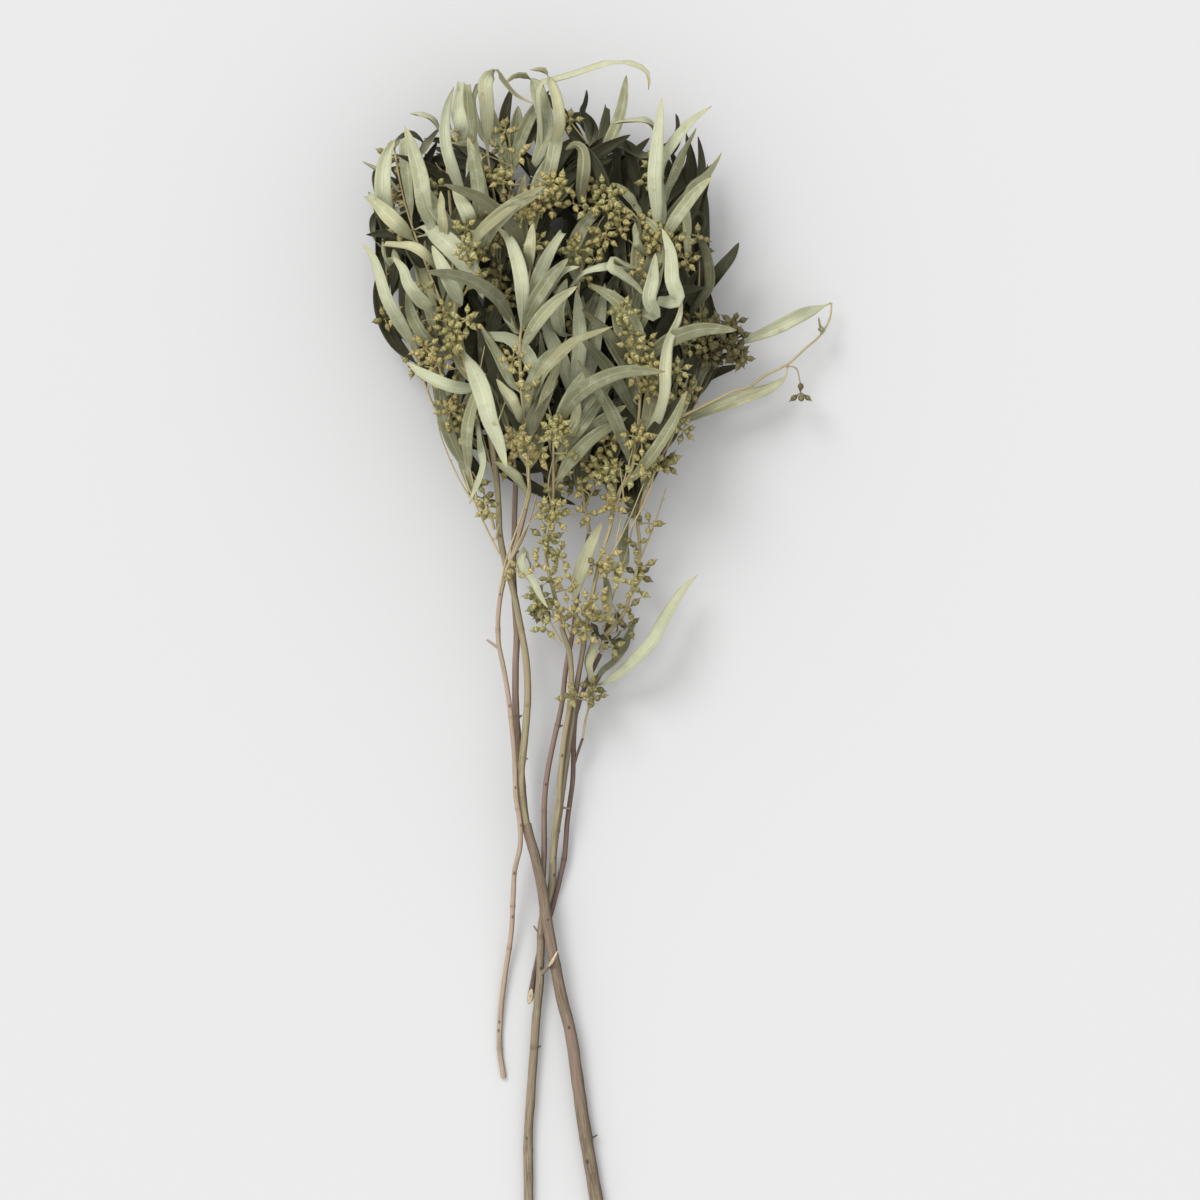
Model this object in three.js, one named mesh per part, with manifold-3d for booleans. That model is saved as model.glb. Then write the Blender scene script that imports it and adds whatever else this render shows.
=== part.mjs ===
// Bunch of dried seeded eucalyptus: four cut branches that lie loose on a surface.
// Millimetres. X runs across the bunch, +Y from the cut ends to the leafy head, +Z up from the surface.
import * as THREE from 'three';
import Module from 'manifold-3d';

const wasm = await Module();
wasm.setup();

// Driving dimensions
const MIDRIB_DEPTH = 1.1; // thickness of a dried leaf at its midrib
const LEAF_WIDTH = 8.6; // of a common leaf; one that looks narrower is turned on its side
const MOST_TURN = 1.1; // steepest turn of a leaf on its side, in radians
const NUT_WIDTH = 5.0; // across a seed cup
const NUT_HUB = 0.9; // half size of the knob that a seed head's stalks spring from
const PEDUNCLE = 0.7; // thickness of the stalk under a seed head
const CUP_SETBACK = 0.45; // of a cup's width, from the head's radius back to its widest ring
const CUP_CORNER = 0.54; // of a cup's width, from the middle of that ring to a corner
const BEAK = 1.9; // length of a cup's point past the head's radius
const FULL_HEAD = 6.2; // a seed head of this radius or more bears seven cups, a smaller one four
const LEAST_HEAD = 4.4; // radius of the smallest seed head
const LEAST_DETAIL = 0.12; // edges shorter than this are left out
const CLEARANCE = 0.45; // least height between a leaf and what it crosses
const SPOT_STEP = 3; // between the spots that stand for a piece when it is set clear of the others
const LEAF_MARGIN = { across: 0.3, up: 0.6 }; // of a leaf's spots past its edges
const HEAD_MARGIN = 1.2; // of a seed head's spot past its radius
const MOST_SINK = 0.6; // of a spot below the surface, where the piece is cut level
const SINK_HALF = 0.9; // most of a spot's half height that is counted for that
const DIRECTION_STEP = 0.03; // share of a leaf's length either side that gives its direction
const ROOT_NEAR = 2; // a leaf whose route starts this near its twig starts on the twig
const ROOT_SHARE = 0.24; // of a leaf's length, where it may touch its neighbours on the twig
const UNEVEN = 0.02; // most that a corner is moved, so that no face is left without a height
const SEED = 7; // of the random draws
const CENTRE_SHIFT = new THREE.Vector2(0.5, 0.5); // moves the middle of the bunch to the origin

// How far above its twig a leaf lies halfway along, and how far its tip is from that height
const LEAF_RISE = { top: 17, middle: 4, low: -9 };
const TIP_DROP = { top: -7, middle: -3, low: -5 };
const REST_HEIGHT = 0.36; // of the middle of a leaf that lies on the surface
const HEAD_RISE = 9; // of a seed head above its twig
const LEAF_LIFTS = [0, 3, -3, 6, -6, 9, -9, 12, -12, 15, -15, 18, 21, 24, 27];
const HEAD_LIFTS = [0, 3, 6, -3, 9, 12, -6, 15, 18];
const LEVEL_SPREAD = 6; // of the drawn heights of leaves, of their tips and of seed heads
const TIP_SPREAD = 8;
const HEAD_SPREAD = 4;

// Sections of a blade, which ends in a point: share of its length, of its width and of its midrib's depth
const LONG_BLADE = [[0, 0.05, 0.4], [0.12, 0.24, 0.9], [0.32, 0.95, 1], [0.55, 1, 1], [0.8, 0.62, 1]];
const SHORT_BLADE = [[0, 0.05, 0.4], [0.3, 0.85, 1], [0.55, 1, 1], [0.8, 0.62, 1]];
const LONG_LEAF = 46; // a leaf of this length or more gets the finer blade

// Leaves too deep in the head to be told apart, set along the twigs by rule
const DEEP_LEAVES = { left: 7, side: 6, back: 10, crown: 6, star: 4, centre: 9, column: 11, right: 11 };
const DEEP_LENGTH = [44, 66];
const DEEP_WIDTH = [7.5, 10];
const DEEP_DROP = [-22, 6];
const DEEP_SPREAD = [0.1, 0.7]; // angle from the twig, in radians
const THICKET = 70; // Y from which the head is thick with them
const DEEP_BEND = 0.9; // sweep of its bends to either side, in radians
const DEEP_TURN = 1.2; // sweep of its turns on its side, in radians
const DEEP_DROOP = { sweep: 16, middle: 0.6 }; // of its tip
const DEEP_LEAST = { middle: 4, tip: 2 }; // least heights
const DEEP_ROUTE = [0.35, 0.7, 1]; // shares of its length
const TRIES = 12; // for each such leaf

// Bare stems: thickness at the cut end and at the far end, then x, y, z along the middle
const STEMS = {
  stem_right: [
    [8.3, 6.0, -1.3, -347, 3.9, -6, -320, 4.3, -12.2, -280, 5.6, -18, -240, 7.4, -23, -220, 8.7, -27,
      -200, 10.2, -29, -190, 11, -32.5, -170, 12.4, -35.5, -150, 13.4, -40, -130, 15.2, -43.2, -119,
      16.6, -44.6, -112, 17.6],
    [4.8, 3.3, -43.8, -116.5, 17, -46, -107, 18.4, -48, -90, 20.4, -47.8, -80, 21.5, -46.8, -70, 22.7,
      -44.8, -50, 25, -43.8, -30, 27.5, -45, -10, 30, -48.5, 10, 32.5, -52.5, 30, 34.7, -57.5, 48, 37.5,
      -60.3, 63, 41, -61.2, 82, 44, -62.5, 100, 47, -65.5, 120, 50.7, -68.5, 137.7, 53.9],
    [4.8, 3.1, -43.8, -116.5, 16.6, -46, -105, 15.2, -47.6, -85, 16.4, -49, -70, 17.8, -51, -45, 20,
      -51.3, -20, 22.2, -50.5, 3, 24.4, -51.5, 20, 26.2, -52.4, 40, 28.6, -51.8, 70, 31.6, -51, 95.7, 34],
  ],
  stem_centre: [
    [6.0, 3.2, -43.5, -347, 2.7, -43.8, -320, 3.1, -43.7, -300, 3.6, -41.6, -270, 4.2, -38.8, -230, 5.3,
      -36.5, -205, 6.3, -36.2, -190, 6.6, -35.3, -172, 6.6, -29.5, -150, 7, -28.3, -130, 9.6, -25.5,
      -110, 12, -22.8, -90, 14.2, -20, -70, 16.6, -17, -50, 19.2, -14.5, -30, 22, -11, -10, 25.4, -8.9,
      4.7, 27.5],
    [2.8, 1.6, -36.6, -205, 6.4, -32.3, -200, 12.2, -30, -197, 15.9, -25, -188, 16.6],
    [1.5, 0.9, -36.2, -181, 6.8, -40.5, -174.5, 8.8],
    [3.6, 3.2, -28.9, -137, 8.8, -27.9, -120, 12.6, -25.2, -100, 16.4, -24, -82, 19, -22, -62, 21.6,
      -18.5, -40, 24.5, -17.4, -22, 26.6, -18.4, -8, 28.6, -21.2, 1, 30, -23.3, 7.7, 31],
    [3.6, 2.8, -35.2, -171, 6.5, -35, -150, 6.8, -34, -125, 8, -33.9, -100, 9.8, -31.8, -80, 11.8, -27.8,
      -60, 14.2, -23.3, -40, 16.4, -21, -20, 18.2, -18, -3, 20, -15.2, 12, 21.6, -13.5, 30, 24, -10.2,
      47, 26.6, -6.6, 64.2, 29],
    [1.6, 1.2, -24, -102, 12.8, -18.6, -103, 13.6],
  ],
  stem_left: [
    [3.2, 2.8, -58.8, -268, 1.4, -61.3, -250, 1.5, -60.8, -230, 2.2, -57.3, -200, 4.2, -54.2, -180, 7,
      -53, -160, 10.8, -51.8, -140, 15.2, -48.6, -126, 18.6, -48.6, -112, 20.8, -51, -95, 22.6, -52, -70,
      24.2, -54.8, -40, 26.6, -57.8, -20, 29, -61.5, 0, 31.6, -61, 20, 35.4, -57.5, 38, 39.8, -54, 47,
      42, -50.5, 57, 44, -44.7, 78.6, 48.4],
    [2.0, 1.4, -61.6, -5, 31, -68.5, 0, 32.6],
    [1.5, 1.1, -54, 47, 42, -46, 62, 48.5, -41, 76, 53.4, -38, 87, 57],
  ],
  stem_slanted: [
    [3.2, 2.9, -43.8, -224, 1.4, -40, -205, 1.5, -36.8, -190, 1.8, -29.4, -165, 2.2, -25.5, -150, 3.4,
      -21.8, -133, 5, -19.8, -110, 7, -16.6, -85, 9.4, -16.2, -65, 11.4, -14.6, -45, 12.6, -8, -26, 14,
      0.3, -8.7, 15.5],
    [1.8, 1.6, -16.4, -78, 10, -13.2, -68, 12.2, -10.45, -59.9, 13.5],
  ],
};
const STEM_SIDES = { stem_right: 7, stem_centre: 6, stem_left: 6, stem_slanted: 6 };
// The slanting cut that ends the lowest stem: a point on it and the way it faces
const SLANT_POINT = [-42.6, -217.5, 1.6];
const SLANT_FACING = [-0.07, -0.3, 0.95];
const SIDES = { thin: 4, twig: 5 }; // of a thin stick and of a common twig
const THIN_STEM = 2.6; // a fork or stub up to this thickness is a thin stick
const THIN_TWIG = 2.2;

// Green twigs of each spray: thickness at both ends, then x, y, z along the middle
const TWIGS = {
  left: [
    [3.2, 1.7, -68.6, 138, 54, -72, 150, 56, -79, 160, 58, -84, 180, 61, -87, 200, 62, -88, 220, 61, -88,
      240, 58, -90, 262, 54, -92, 285, 50, -93, 303, 46],
    [1.9, 1.3, -84, 180, 61, -94, 200, 60, -103, 222, 57, -110, 240, 53, -117, 262, 48, -122, 284, 43,
      -124, 296, 40],
    [1.8, 1.3, -87, 200, 62, -78, 212, 64, -73, 225, 64, -74, 240, 62, -77, 257, 59],
    [1.8, 1.2, -79, 160, 58, -88, 168, 58, -98, 178, 55, -108, 190, 51],
  ],
  side: [
    [2.0, 1.3, -63.6, 66.5, 41.4, -66.4, 75, 40, -73, 80.5, 38, -77, 86, 37, -81, 95, 35, -84, 104, 34,
      -88, 115, 32, -91, 123, 31, -95, 133, 30, -100, 140, 29, -105, 152, 28, -109, 165, 26, -116, 180,
      24, -122, 193, 21, -127, 207, 18, -130, 222, 15],
    [1.3, 1.0, -91, 123, 31, -84, 131, 34, -76, 137, 37],
    [1.2, 0.9, -66.4, 75, 40, -70, 88, 39, -78, 98, 38, -86, 108, 36, -92, 120, 34, -80, 124, 33, -74,
      120, 33],
  ],
  back: [
    [3.0, 1.7, -51, 96.2, 34, -53, 120, 32, -57, 150, 31, -60, 175, 31, -60, 200, 33, -60, 225, 37, -61,
      250, 41, -65, 275, 44, -68, 295, 46],
    [1.6, 1.2, -61, 250, 41, -56, 262, 43, -53, 278, 45, -54, 296, 45],
  ],
  crown: [
    [2.8, 1.6, -44.6, 79, 48.5, -42.5, 88, 51, -43, 100, 54, -44, 115, 57, -45, 130, 59, -47, 150, 62,
      -48, 170, 64, -47.5, 183, 65, -45, 200, 64, -42, 220, 61, -40, 240, 57, -38, 257, 53, -37, 276, 49,
      -35, 290, 46],
    [1.5, 1.2, -39, 248, 55, -34, 260, 56, -30, 272, 56],
  ],
  star: [
    [3.0, 1.6, -23.4, 8, 31, -25.5, 17, 32, -27, 25, 33, -29, 33, 34.5, -31, 41, 36, -32.5, 50, 38,
      -31.5, 60, 41, -29, 74, 45, -28, 90, 49, -28, 105, 52, -28, 122, 56, -29, 134, 58],
    [1.5, 1.1, -25, 14, 31.5, -30, 14, 33, -35, 20, 35, -39, 27, 37, -42, 36, 39, -42, 46, 41],
  ],
  centre: [
    [2.6, 1.6, -6.4, 65.2, 29.1, -9, 80, 31, -12, 100, 34, -12, 115, 36, -12, 130, 38, -15, 147, 41, -17,
      165, 43, -16, 190, 45, -13, 210, 46, -10, 234, 46, -9, 261, 44, -8, 280, 42, -6, 298, 38],
    [1.5, 1.1, -9, 80, 31, -3, 92, 34, 4, 101, 36, 6, 118, 38],
    [1.5, 1.1, -10, 234, 46, 2, 242, 48, 5, 256, 47, 2, 269, 46],
  ],
  column: [
    [3.0, 1.6, -8.8, 5, 27.6, -7, 15, 29, -3, 35, 32, 1, 52, 35, 6, 68, 38, 8, 80, 41, 12, 90, 44, 19,
      102, 47, 21, 115, 49, 23, 130, 51, 24, 150, 53, 22, 160, 54, 21, 178, 55, 23, 195, 55, 25, 215, 54,
      26, 235, 52, 29, 250, 50, 33, 265, 48, 35, 285, 45, 35, 298, 42],
    [1.4, 1.1, -8, 8, 28, -13, 13, 29.5, -16, 20, 31],
    [1.5, 1.2, 28, 246, 50.5, 20, 256, 50, 11, 264, 48],
    [1.5, 1.2, 26, 226, 53, 36, 236, 52, 46, 242, 48, 53, 244, 45],
    [2.4, 1.3, 22.6, 126, 50.5, 35, 128, 47, 50, 135, 43, 60, 140, 40, 70, 145, 36, 80, 150, 33, 90, 153,
      30, 100, 160, 26, 110, 165, 22, 115, 168, 20, 125, 177, 17, 133, 184, 15, 138, 191, 13, 140.5, 198,
      12, 141, 205, 11],
    [1.2, 0.9, 111, 166, 22, 119, 165, 17, 122, 156, 11],
  ],
  right: [
    [2.8, 1.5, 0.6, -7.9, 15.6, 3, 2, 17, 8, 8, 17.5, 14, 15, 18, 19, 30, 20, 23, 45, 21, 24, 58, 22, 23,
      72, 24, 26, 86, 26, 31, 97, 28, 37, 110, 30, 44, 124, 31, 50, 140, 31, 56, 158, 30, 60, 176, 29,
      61, 195, 28, 60, 212, 27, 60, 228, 26, 59, 243, 25],
    [1.6, 1.2, 59, 170, 29.5, 68, 177, 31, 77, 181, 31, 85, 177, 29],
    [1.2, 0.9, 3, 2, 17, 8, 4, 16, 15, 6, 15],
  ],
  low: [
    [1.7, 1.3, -10.4, -59.5, 13.6, -9, -50, 14.5, -7, -42, 16, -5, -33, 17],
  ],
};

// Leaves of each spray: height class, width seen from above, then x, y from root to tip
const LEAVES = {
  left: [
    ['top', 9, -81.5, 303, -83, 308, -85, 318, -84, 329],
    ['middle', 8, -78, 300, -79, 315, -80, 330],
    ['top', 7.5, -77, 259, -83, 269, -88, 280, -92.5, 295, -93, 308, -91, 320, -87, 330],
    ['middle', 4, -96, 306, -103, 313, -114, 316.5],
    ['top', 9, -72, 240, -80, 256, -88, 270],
    ['middle', 6, -92, 240, -94, 255, -95, 268],
    ['top', 10, -101, 245, -105, 260, -107, 275, -111, 290, -117, 308],
    ['top', 13, -106, 248, -92, 238, -80, 225, -72, 212, -70, 204],
    ['middle', 7, -112, 250, -114, 265, -115, 280, -117, 295],
    ['low', 6, -114, 252, -118, 266, -119, 280, -120, 292],
    ['top', 10, -126, 255, -129, 262, -130, 275, -128, 290, -123, 300],
    ['top', 10, -110, 237, -122, 249, -134, 261],
    ['low', 4, -124, 296, -121, 302, -116, 305, -110, 303, -106, 300],
    ['low', 3.5, -129, 258, -133, 264, -135.5, 273, -135.5, 282, -130, 292],
    ['middle', 3, -121, 270, -125, 274, -133, 281, -143, 288],
    ['low', 5, -108, 293, -101, 303, -97, 309],
    ['top', 8, -100, 198, -106, 203, -113, 212, -116, 220, -123, 228],
    ['top', 6.5, -97, 222, -103, 228, -112, 234, -124, 236],
    ['middle', 7, -91, 200, -94, 206, -98, 215, -102, 225, -107, 233],
    ['top', 9, -83, 199, -90, 215, -100, 235],
    ['low', 5, -83, 167, -90, 170, -96, 178, -98, 190, -97, 202],
    ['top', 11, -83, 177, -79, 168, -74, 158, -69, 145, -65, 130, -60, 118, -57, 108, -55, 102],
    ['top', 8, -70, 152, -85, 150, -98, 154, -108, 160, -115, 166],
    ['low', 5, -72, 194, -75, 199, -78, 205, -76, 213, -72, 220],
  ],
  side: [
    ['top', 8, -109, 171, -115, 182, -117, 186, -122, 195, -127, 205, -131, 218, -136, 230, -143, 238],
    ['middle', 10, -124, 225, -128, 236, -129, 250],
    ['low', 5, -127, 190, -131, 198, -136, 200],
    ['top', 4.5, -75, 138, -72, 122, -68.5, 108, -72, 95, -78.5, 82],
    ['middle', 4, -130, 236, -134, 241, -138.5, 248, -139, 256, -134, 264],
    ['rest', 9, -116, 180, -112, 196, -106, 214, -102, 232],
  ],
  back: [
    ['top', 9, -68.5, 290, -67.5, 303, -67.5, 320, -68, 332, -62, 340, -56, 333, -50, 326, -40, 320],
    ['middle', 4, -69, 299, -71.5, 305, -73.5, 313, -75, 320, -76, 327, -75, 332],
    ['top', 13, -61.5, 225, -64.5, 236, -69, 250, -74, 270, -76, 288, -75, 303],
    ['low', 12, -62, 276, -56, 285, -52, 294, -46, 303, -38, 314],
    ['rest', 9, -64, 272, -72, 288, -84, 300, -95, 306],
  ],
  crown: [
    ['top', 4, -34.8, 332.4, -27.9, 334.4, -16.8, 337.4, -1.8, 342.6, 7.2, 345.6, 14.4, 346.2, 21, 344,
      25.8, 342.2, 28.8, 338.4, 29.1, 330],
    ['middle', 10, -38, 276, -41, 281, -38, 289, -34, 300, -33, 312, -36, 325, -41, 337, -50, 339, -58,
      334],
    ['top', 6.5, -35, 285, -29, 296, -25, 308, -25.5, 318, -29, 330, -33, 340, -42, 341],
    ['middle', 5, -40, 185, -37, 195, -31, 208, -22, 220, -12, 223],
    ['top', 9, -47.5, 183, -46, 200, -47, 215, -50, 228, -55, 240, -62, 247],
    ['top', 8.5, -47.5, 183, -43, 200, -37, 217, -30, 232, -25, 240],
    ['middle', 6.5, -42, 220, -40.5, 235, -40, 248],
    ['middle', 4.5, -40, 257, -45, 264, -50, 267],
    ['middle', 9, -30, 262, -20, 275, -14, 285],
    ['middle', 7, -48, 147, -53, 154, -60, 167, -66, 178, -72, 188],
    ['top', 6.5, -46, 127, -50, 137, -56, 147, -62, 156],
    ['middle', 5, -50, 184, -56, 195, -62, 203],
    ['middle', 7, -43, 88, -55, 101, -64, 107],
  ],
  star: [
    ['top', 9.5, -29, 132, -31, 140, -35, 148, -38, 158, -42, 168, -48, 176, -55, 181, -62, 182],
    ['middle', 8, -27, 98, -28, 85, -30, 76],
    ['low', 5, -26, 128, -24, 138, -24, 148, -28, 160],
    ['middle', 6, -24, 120, -19, 123, -16, 135, -15, 150],
    ['middle', 6, -46, 54, -46, 45, -40, 37, -31, 19],
  ],
  centre: [
    ['top', 9, -18.5, 147, -14, 162, -12, 178, -13, 195, -14, 211],
    ['top', 9, -18.5, 148, -20, 158, -23, 168, -28, 178, -32, 188, -33.5, 199],
    ['middle', 6, -30, 164, -34, 170, -38, 183],
    ['middle', 8, -11, 150, -4, 169, -2, 182, 1, 198, 3, 215],
    ['low', 9, -8, 151, 2, 162, 7, 178, 8, 195, 5, 210],
    ['middle', 9, -22, 184, -26, 195, -24, 205, -20, 217],
    ['top', 5.5, -12, 261, -11.5, 272, -10, 285, -11, 294, -15, 297, -21, 294],
    ['low', 9, -4, 304, -10, 315, -20, 318],
    ['low', 5, -8, 310, -12, 320, -10, 325, -8, 333],
    ['low', 6, -2, 285, 0, 300, 3, 317],
    ['low', 9, -18, 232, -28, 243, -36, 253],
    ['middle', 4.5, -14, 128, -5, 131, 3, 128, 9, 122],
    ['middle', 5, -12, 108, -3, 109, 4, 113, 9, 120],
    ['low', 6, -10, 144, -3, 148, 5, 154],
    ['low', 4, 3, 149, 10, 151, 16, 149],
  ],
  column: [
    ['low', 7, 27, 292, 14, 299, 5, 302],
    ['middle', 7, 5, 293, 12, 300, 20, 309],
    ['top', 3.5, 31, 308, 27, 310, 15, 310.5, 7, 310],
    ['top', 8.5, 35, 243, 34, 258, 32.5, 275, 34, 295, 37, 325],
    ['top', 7, 37, 248, 38, 255, 37, 264, 36, 273, 38, 285, 45, 297, 55, 310, 67, 321],
    ['middle', 5.5, 38, 262, 40, 270, 44, 282, 50, 295, 58, 308],
    ['low', 4, 42, 294, 44, 300, 46, 308, 46, 318],
    ['middle', 6, 53, 231, 51, 245, 49.5, 262, 54, 273, 63, 280, 73, 292],
    ['middle', 6, 24, 256, 20, 262, 15, 269, 9, 275],
    ['middle', 8, 20, 253, 30, 249, 38, 238],
    ['top', 9, 46, 203, 43, 215, 42, 232, 37, 246],
    ['top', 7, 20, 100, 23, 113, 30, 125, 35, 138, 38, 150, 38, 162, 40, 178, 47, 193, 49, 205],
    ['top', 8.5, 33, 194, 29, 203, 31, 215, 33, 231],
    ['middle', 6, 30, 229, 23, 238, 21, 250],
    ['top', 5, 7, 224, 13, 219, 22, 212, 26, 206],
    ['low', 8, 12, 201, 9, 210, 12, 221],
    ['low', 7, 17, 224, 14, 230, 13, 240, 18, 250],
    ['top', 4, 10, 222, 2, 221, -8, 219, -15, 213, -20, 206],
    ['top', 7, 12.5, 88, 15, 98, 16, 108, 15, 118, 13, 125],
    ['top', 8.5, -16, 21, -13.5, 35, -8, 52, 1, 71],
    ['low', 7, 12, 45, 13, 60, 17, 74],
    ['low', 5, 5, 15, 6, 28, 3, 42],
    ['top', 8.5, 140, 205, 134, 202, 122, 197, 108, 190, 95, 184.5, 82, 179],
    ['middle', 8, 114, 166, 113, 160, 110, 157, 102, 152, 90, 147.5, 75, 142, 60, 136.5, 45, 129],
    ['middle', 4, 138, 190, 134, 187, 133, 196],
  ],
  right: [
    ['middle', 8, 55, 205, 65, 213, 74, 224, 80, 232, 84, 240],
    ['middle', 6, 54, 195, 58, 202, 66, 213, 66, 225, 62, 238, 57, 249],
    ['middle', 6, 57, 245, 62, 250, 60, 257, 53, 258],
    ['middle', 4, 56, 224, 58, 215, 61, 211],
    ['rest', 9, 56, 158, 50, 176, 46, 194, 42, 212],
  ],
  low: [
    ['top', 7.5, -5, -30, 5, -25, 15, -18, 25, -9, 33, 0, 38, 10, 45, 22, 52, 32, 59, 39],
    ['low', 3.5, -5, -21, 0, -15, 7, -9, 12, -3, 15, 4],
    ['low', 3.5, 0, -22, 10, -14, 16, -5, 19, 5, 22, 10],
    ['middle', 3.5, -8, -40, -7, -32, -6, -24],
    ['low', 5, -5, -28, -6, -14, -4, -3, -3, 4],
  ],
};

// Seed heads of each spray: x, y and radius
const SEED_HEADS = {
  left: [[-80, 246, 7], [-88, 305, 4], [-97, 272, 4], [-79, 232, 6], [-104, 210, 5], [-92, 196, 6],
    [-79, 190, 8], [-91, 186, 6], [-88, 177, 7], [-97, 165, 7], [-105, 175, 9]],
  side: [[-110, 190, 8], [-130, 194, 5], [-113, 166, 5], [-90, 138, 9], [-78, 138, 4]],
  back: [[-57, 306, 6], [-55, 260, 6], [-65, 237, 4], [-63, 220, 7], [-60, 205, 9]],
  crown: [[-46, 253, 7], [-30, 273, 7], [-52, 168, 6], [-47, 158, 5], [-44, 150, 5], [-50, 122, 6],
    [-47, 115, 7], [-37, 110, 7]],
  star: [[-27, 124, 9], [-30, 107, 8], [-20, 112, 5], [-28, 74, 9], [-32, 60, 9], [-25, 50, 7], [-38,
    45, 4], [-30, 37, 4], [-21, 38, 3], [-21, 30, 4]],
  centre: [[-18, 312, 6], [2, 270, 7], [-16, 262, 4], [-8, 258, 4], [-15, 234, 8], [3, 242, 7], [-3,
    228, 6], [8, 120, 4], [0, 104, 5], [4, 97, 6]],
  column: [[24, 221, 4], [14, 196, 8], [20, 175, 8], [22, 160, 9], [30, 165, 7], [28, 150, 8], [8, 82,
    9], [25, 120, 8], [28, 105, 9], [20, 98, 4], [8, 42, 7], [5, 50, 5], [12, 36, 4], [0, 25, 5], [-8,
    22, 6], [-16, 15, 3], [2, 14, 4], [52, 227, 6], [122, 150, 4]],
  right: [[17, 19, 5], [17, 8, 3], [22, 30, 5], [26, 44, 5], [30, 70, 5], [22, 58, 4], [40, 108, 4],
    [64, 192, 7], [72, 189, 6], [81, 191, 6], [76, 177, 7], [85, 169, 5], [50, 126, 6], [46, 142, 6],
    [54, 150, 6], [47, 162, 6], [54, 178, 6]],
  low: [[-14, -33, 5], [-18, -35, 3], [-3, -34, 3]],
};

// Outline of the head seen from above, which the deep leaves stay inside
const OUTLINE = [
  [-143, 288], [-140, 255], [-143, 238], [-136, 200], [-122, 176], [-116, 165], [-106, 152], [-93, 122],
  [-84, 97], [-62, 52], [-46, 30], [-32, 5], [-14, -30], [-2, -30], [22, 17], [26, 45], [34, 70], [33, 95],
  [43, 108], [44, 125], [60, 147], [88, 168], [84, 190], [66, 200], [64, 225], [62, 252], [70, 285],
  [64, 316], [46, 316], [37, 325], [30, 335], [12, 341], [-35, 338], [-64, 338], [-88, 328], [-114, 314],
];

const FINISHES = {
  stem_right: { color: 0xa08a70, roughness: 0.7, metalness: 0 },
  stem_centre: { color: 0x9c8a5e, roughness: 0.7, metalness: 0 },
  stem_left: { color: 0x8f8357, roughness: 0.7, metalness: 0 },
  stem_slanted: { color: 0x8c6a62, roughness: 0.65, metalness: 0 },
  spray: { color: 0xa9b088, roughness: 0.75, metalness: 0 },
};

// A repeatable draw of numbers from 0 to 1
function draws(seed) {
  let state = seed;
  return () => {
    state = (state + 0x6d2b79f5) | 0;
    let mixed = Math.imul(state ^ (state >>> 15), 1 | state);
    mixed = (mixed + Math.imul(mixed ^ (mixed >>> 7), 61 | mixed)) ^ mixed;
    return ((mixed ^ (mixed >>> 14)) >>> 0) / 4294967296;
  };
}

function between([low, high], share) {
  return low + (high - low) * share;
}

function smooth(share) {
  const held = Math.min(1, Math.max(0, share));
  return held * held * (3 - 2 * held);
}

// Closed solid from corner points and triangles
function solid(corners, triangles) {
  const vertProperties = new Float32Array(corners.length * 3);
  corners.forEach((corner, index) => vertProperties.set([corner.x, corner.y, corner.z], index * 3));
  const mesh = new wasm.Mesh({ numProp: 3, vertProperties, triVerts: new Uint32Array(triangles.flat()) });
  return new wasm.Manifold(mesh);
}

// Points of a row of x, y, z or x, y numbers
function points(row, size) {
  const list = [];
  for (let at = 0; at < row.length; at += size) {
    list.push(new THREE.Vector3(row[at], row[at + 1], size === 3 ? row[at + 2] : 0));
  }
  return list;
}

// A twig or stem: its middle line and its thickness at each point
function twig([first, last, ...row]) {
  const line = points(row, 3);
  const run = [0];
  for (let at = 1; at < line.length; at += 1) run.push(run[at - 1] + line[at].distanceTo(line[at - 1]));
  const thickness = run.map((distance) => first + ((last - first) * distance) / run[run.length - 1]);
  return { line, thickness };
}

// Round stick along a line, closed by flat ends
function stick({ line, thickness }, sides) {
  const corners = [];
  const triangles = [];
  let across = new THREE.Vector3(1, 0, 0);
  line.forEach((point, at) => {
    const before = line[Math.max(0, at - 1)];
    const after = line[Math.min(line.length - 1, at + 1)];
    const along = after.clone().sub(before).normalize();
    across = across.clone().addScaledVector(along, -across.dot(along)).normalize();
    const other = along.clone().cross(across);
    for (let side = 0; side < sides; side += 1) {
      const angle = ((side + 0.5) / sides) * Math.PI * 2;
      corners.push(
        point
          .clone()
          .addScaledVector(across, (Math.cos(angle) * thickness[at]) / 2)
          .addScaledVector(other, (Math.sin(angle) * thickness[at]) / 2),
      );
    }
  });
  for (let at = 0; at + 1 < line.length; at += 1) {
    for (let side = 0; side < sides; side += 1) {
      const here = at * sides + side;
      const next = at * sides + ((side + 1) % sides);
      triangles.push([here, next, next + sides], [here, next + sides, here + sides]);
    }
  }
  const end = (line.length - 1) * sides;
  for (let side = 1; side + 1 < sides; side += 1) {
    triangles.push([0, side + 1, side], [end, end + side, end + side + 1]);
  }
  return solid(corners, triangles);
}

// Nearest point to a plan point on a spray's twigs
function anchorOn(twigs, target) {
  let best = null;
  twigs.forEach(({ line }) => {
    for (let at = 0; at + 1 < line.length; at += 1) {
      const step = line[at + 1].clone().sub(line[at]);
      const flat = step.x * step.x + step.y * step.y;
      const reach = (target.x - line[at].x) * step.x + (target.y - line[at].y) * step.y;
      const share = Math.min(1, Math.max(0, reach / Math.max(flat, 1e-6)));
      const point = line[at].clone().addScaledVector(step, share);
      const away = Math.hypot(point.x - target.x, point.y - target.y);
      if (best === null || away < best.away) best = { point, away };
    }
  });
  return best.point;
}

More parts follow.
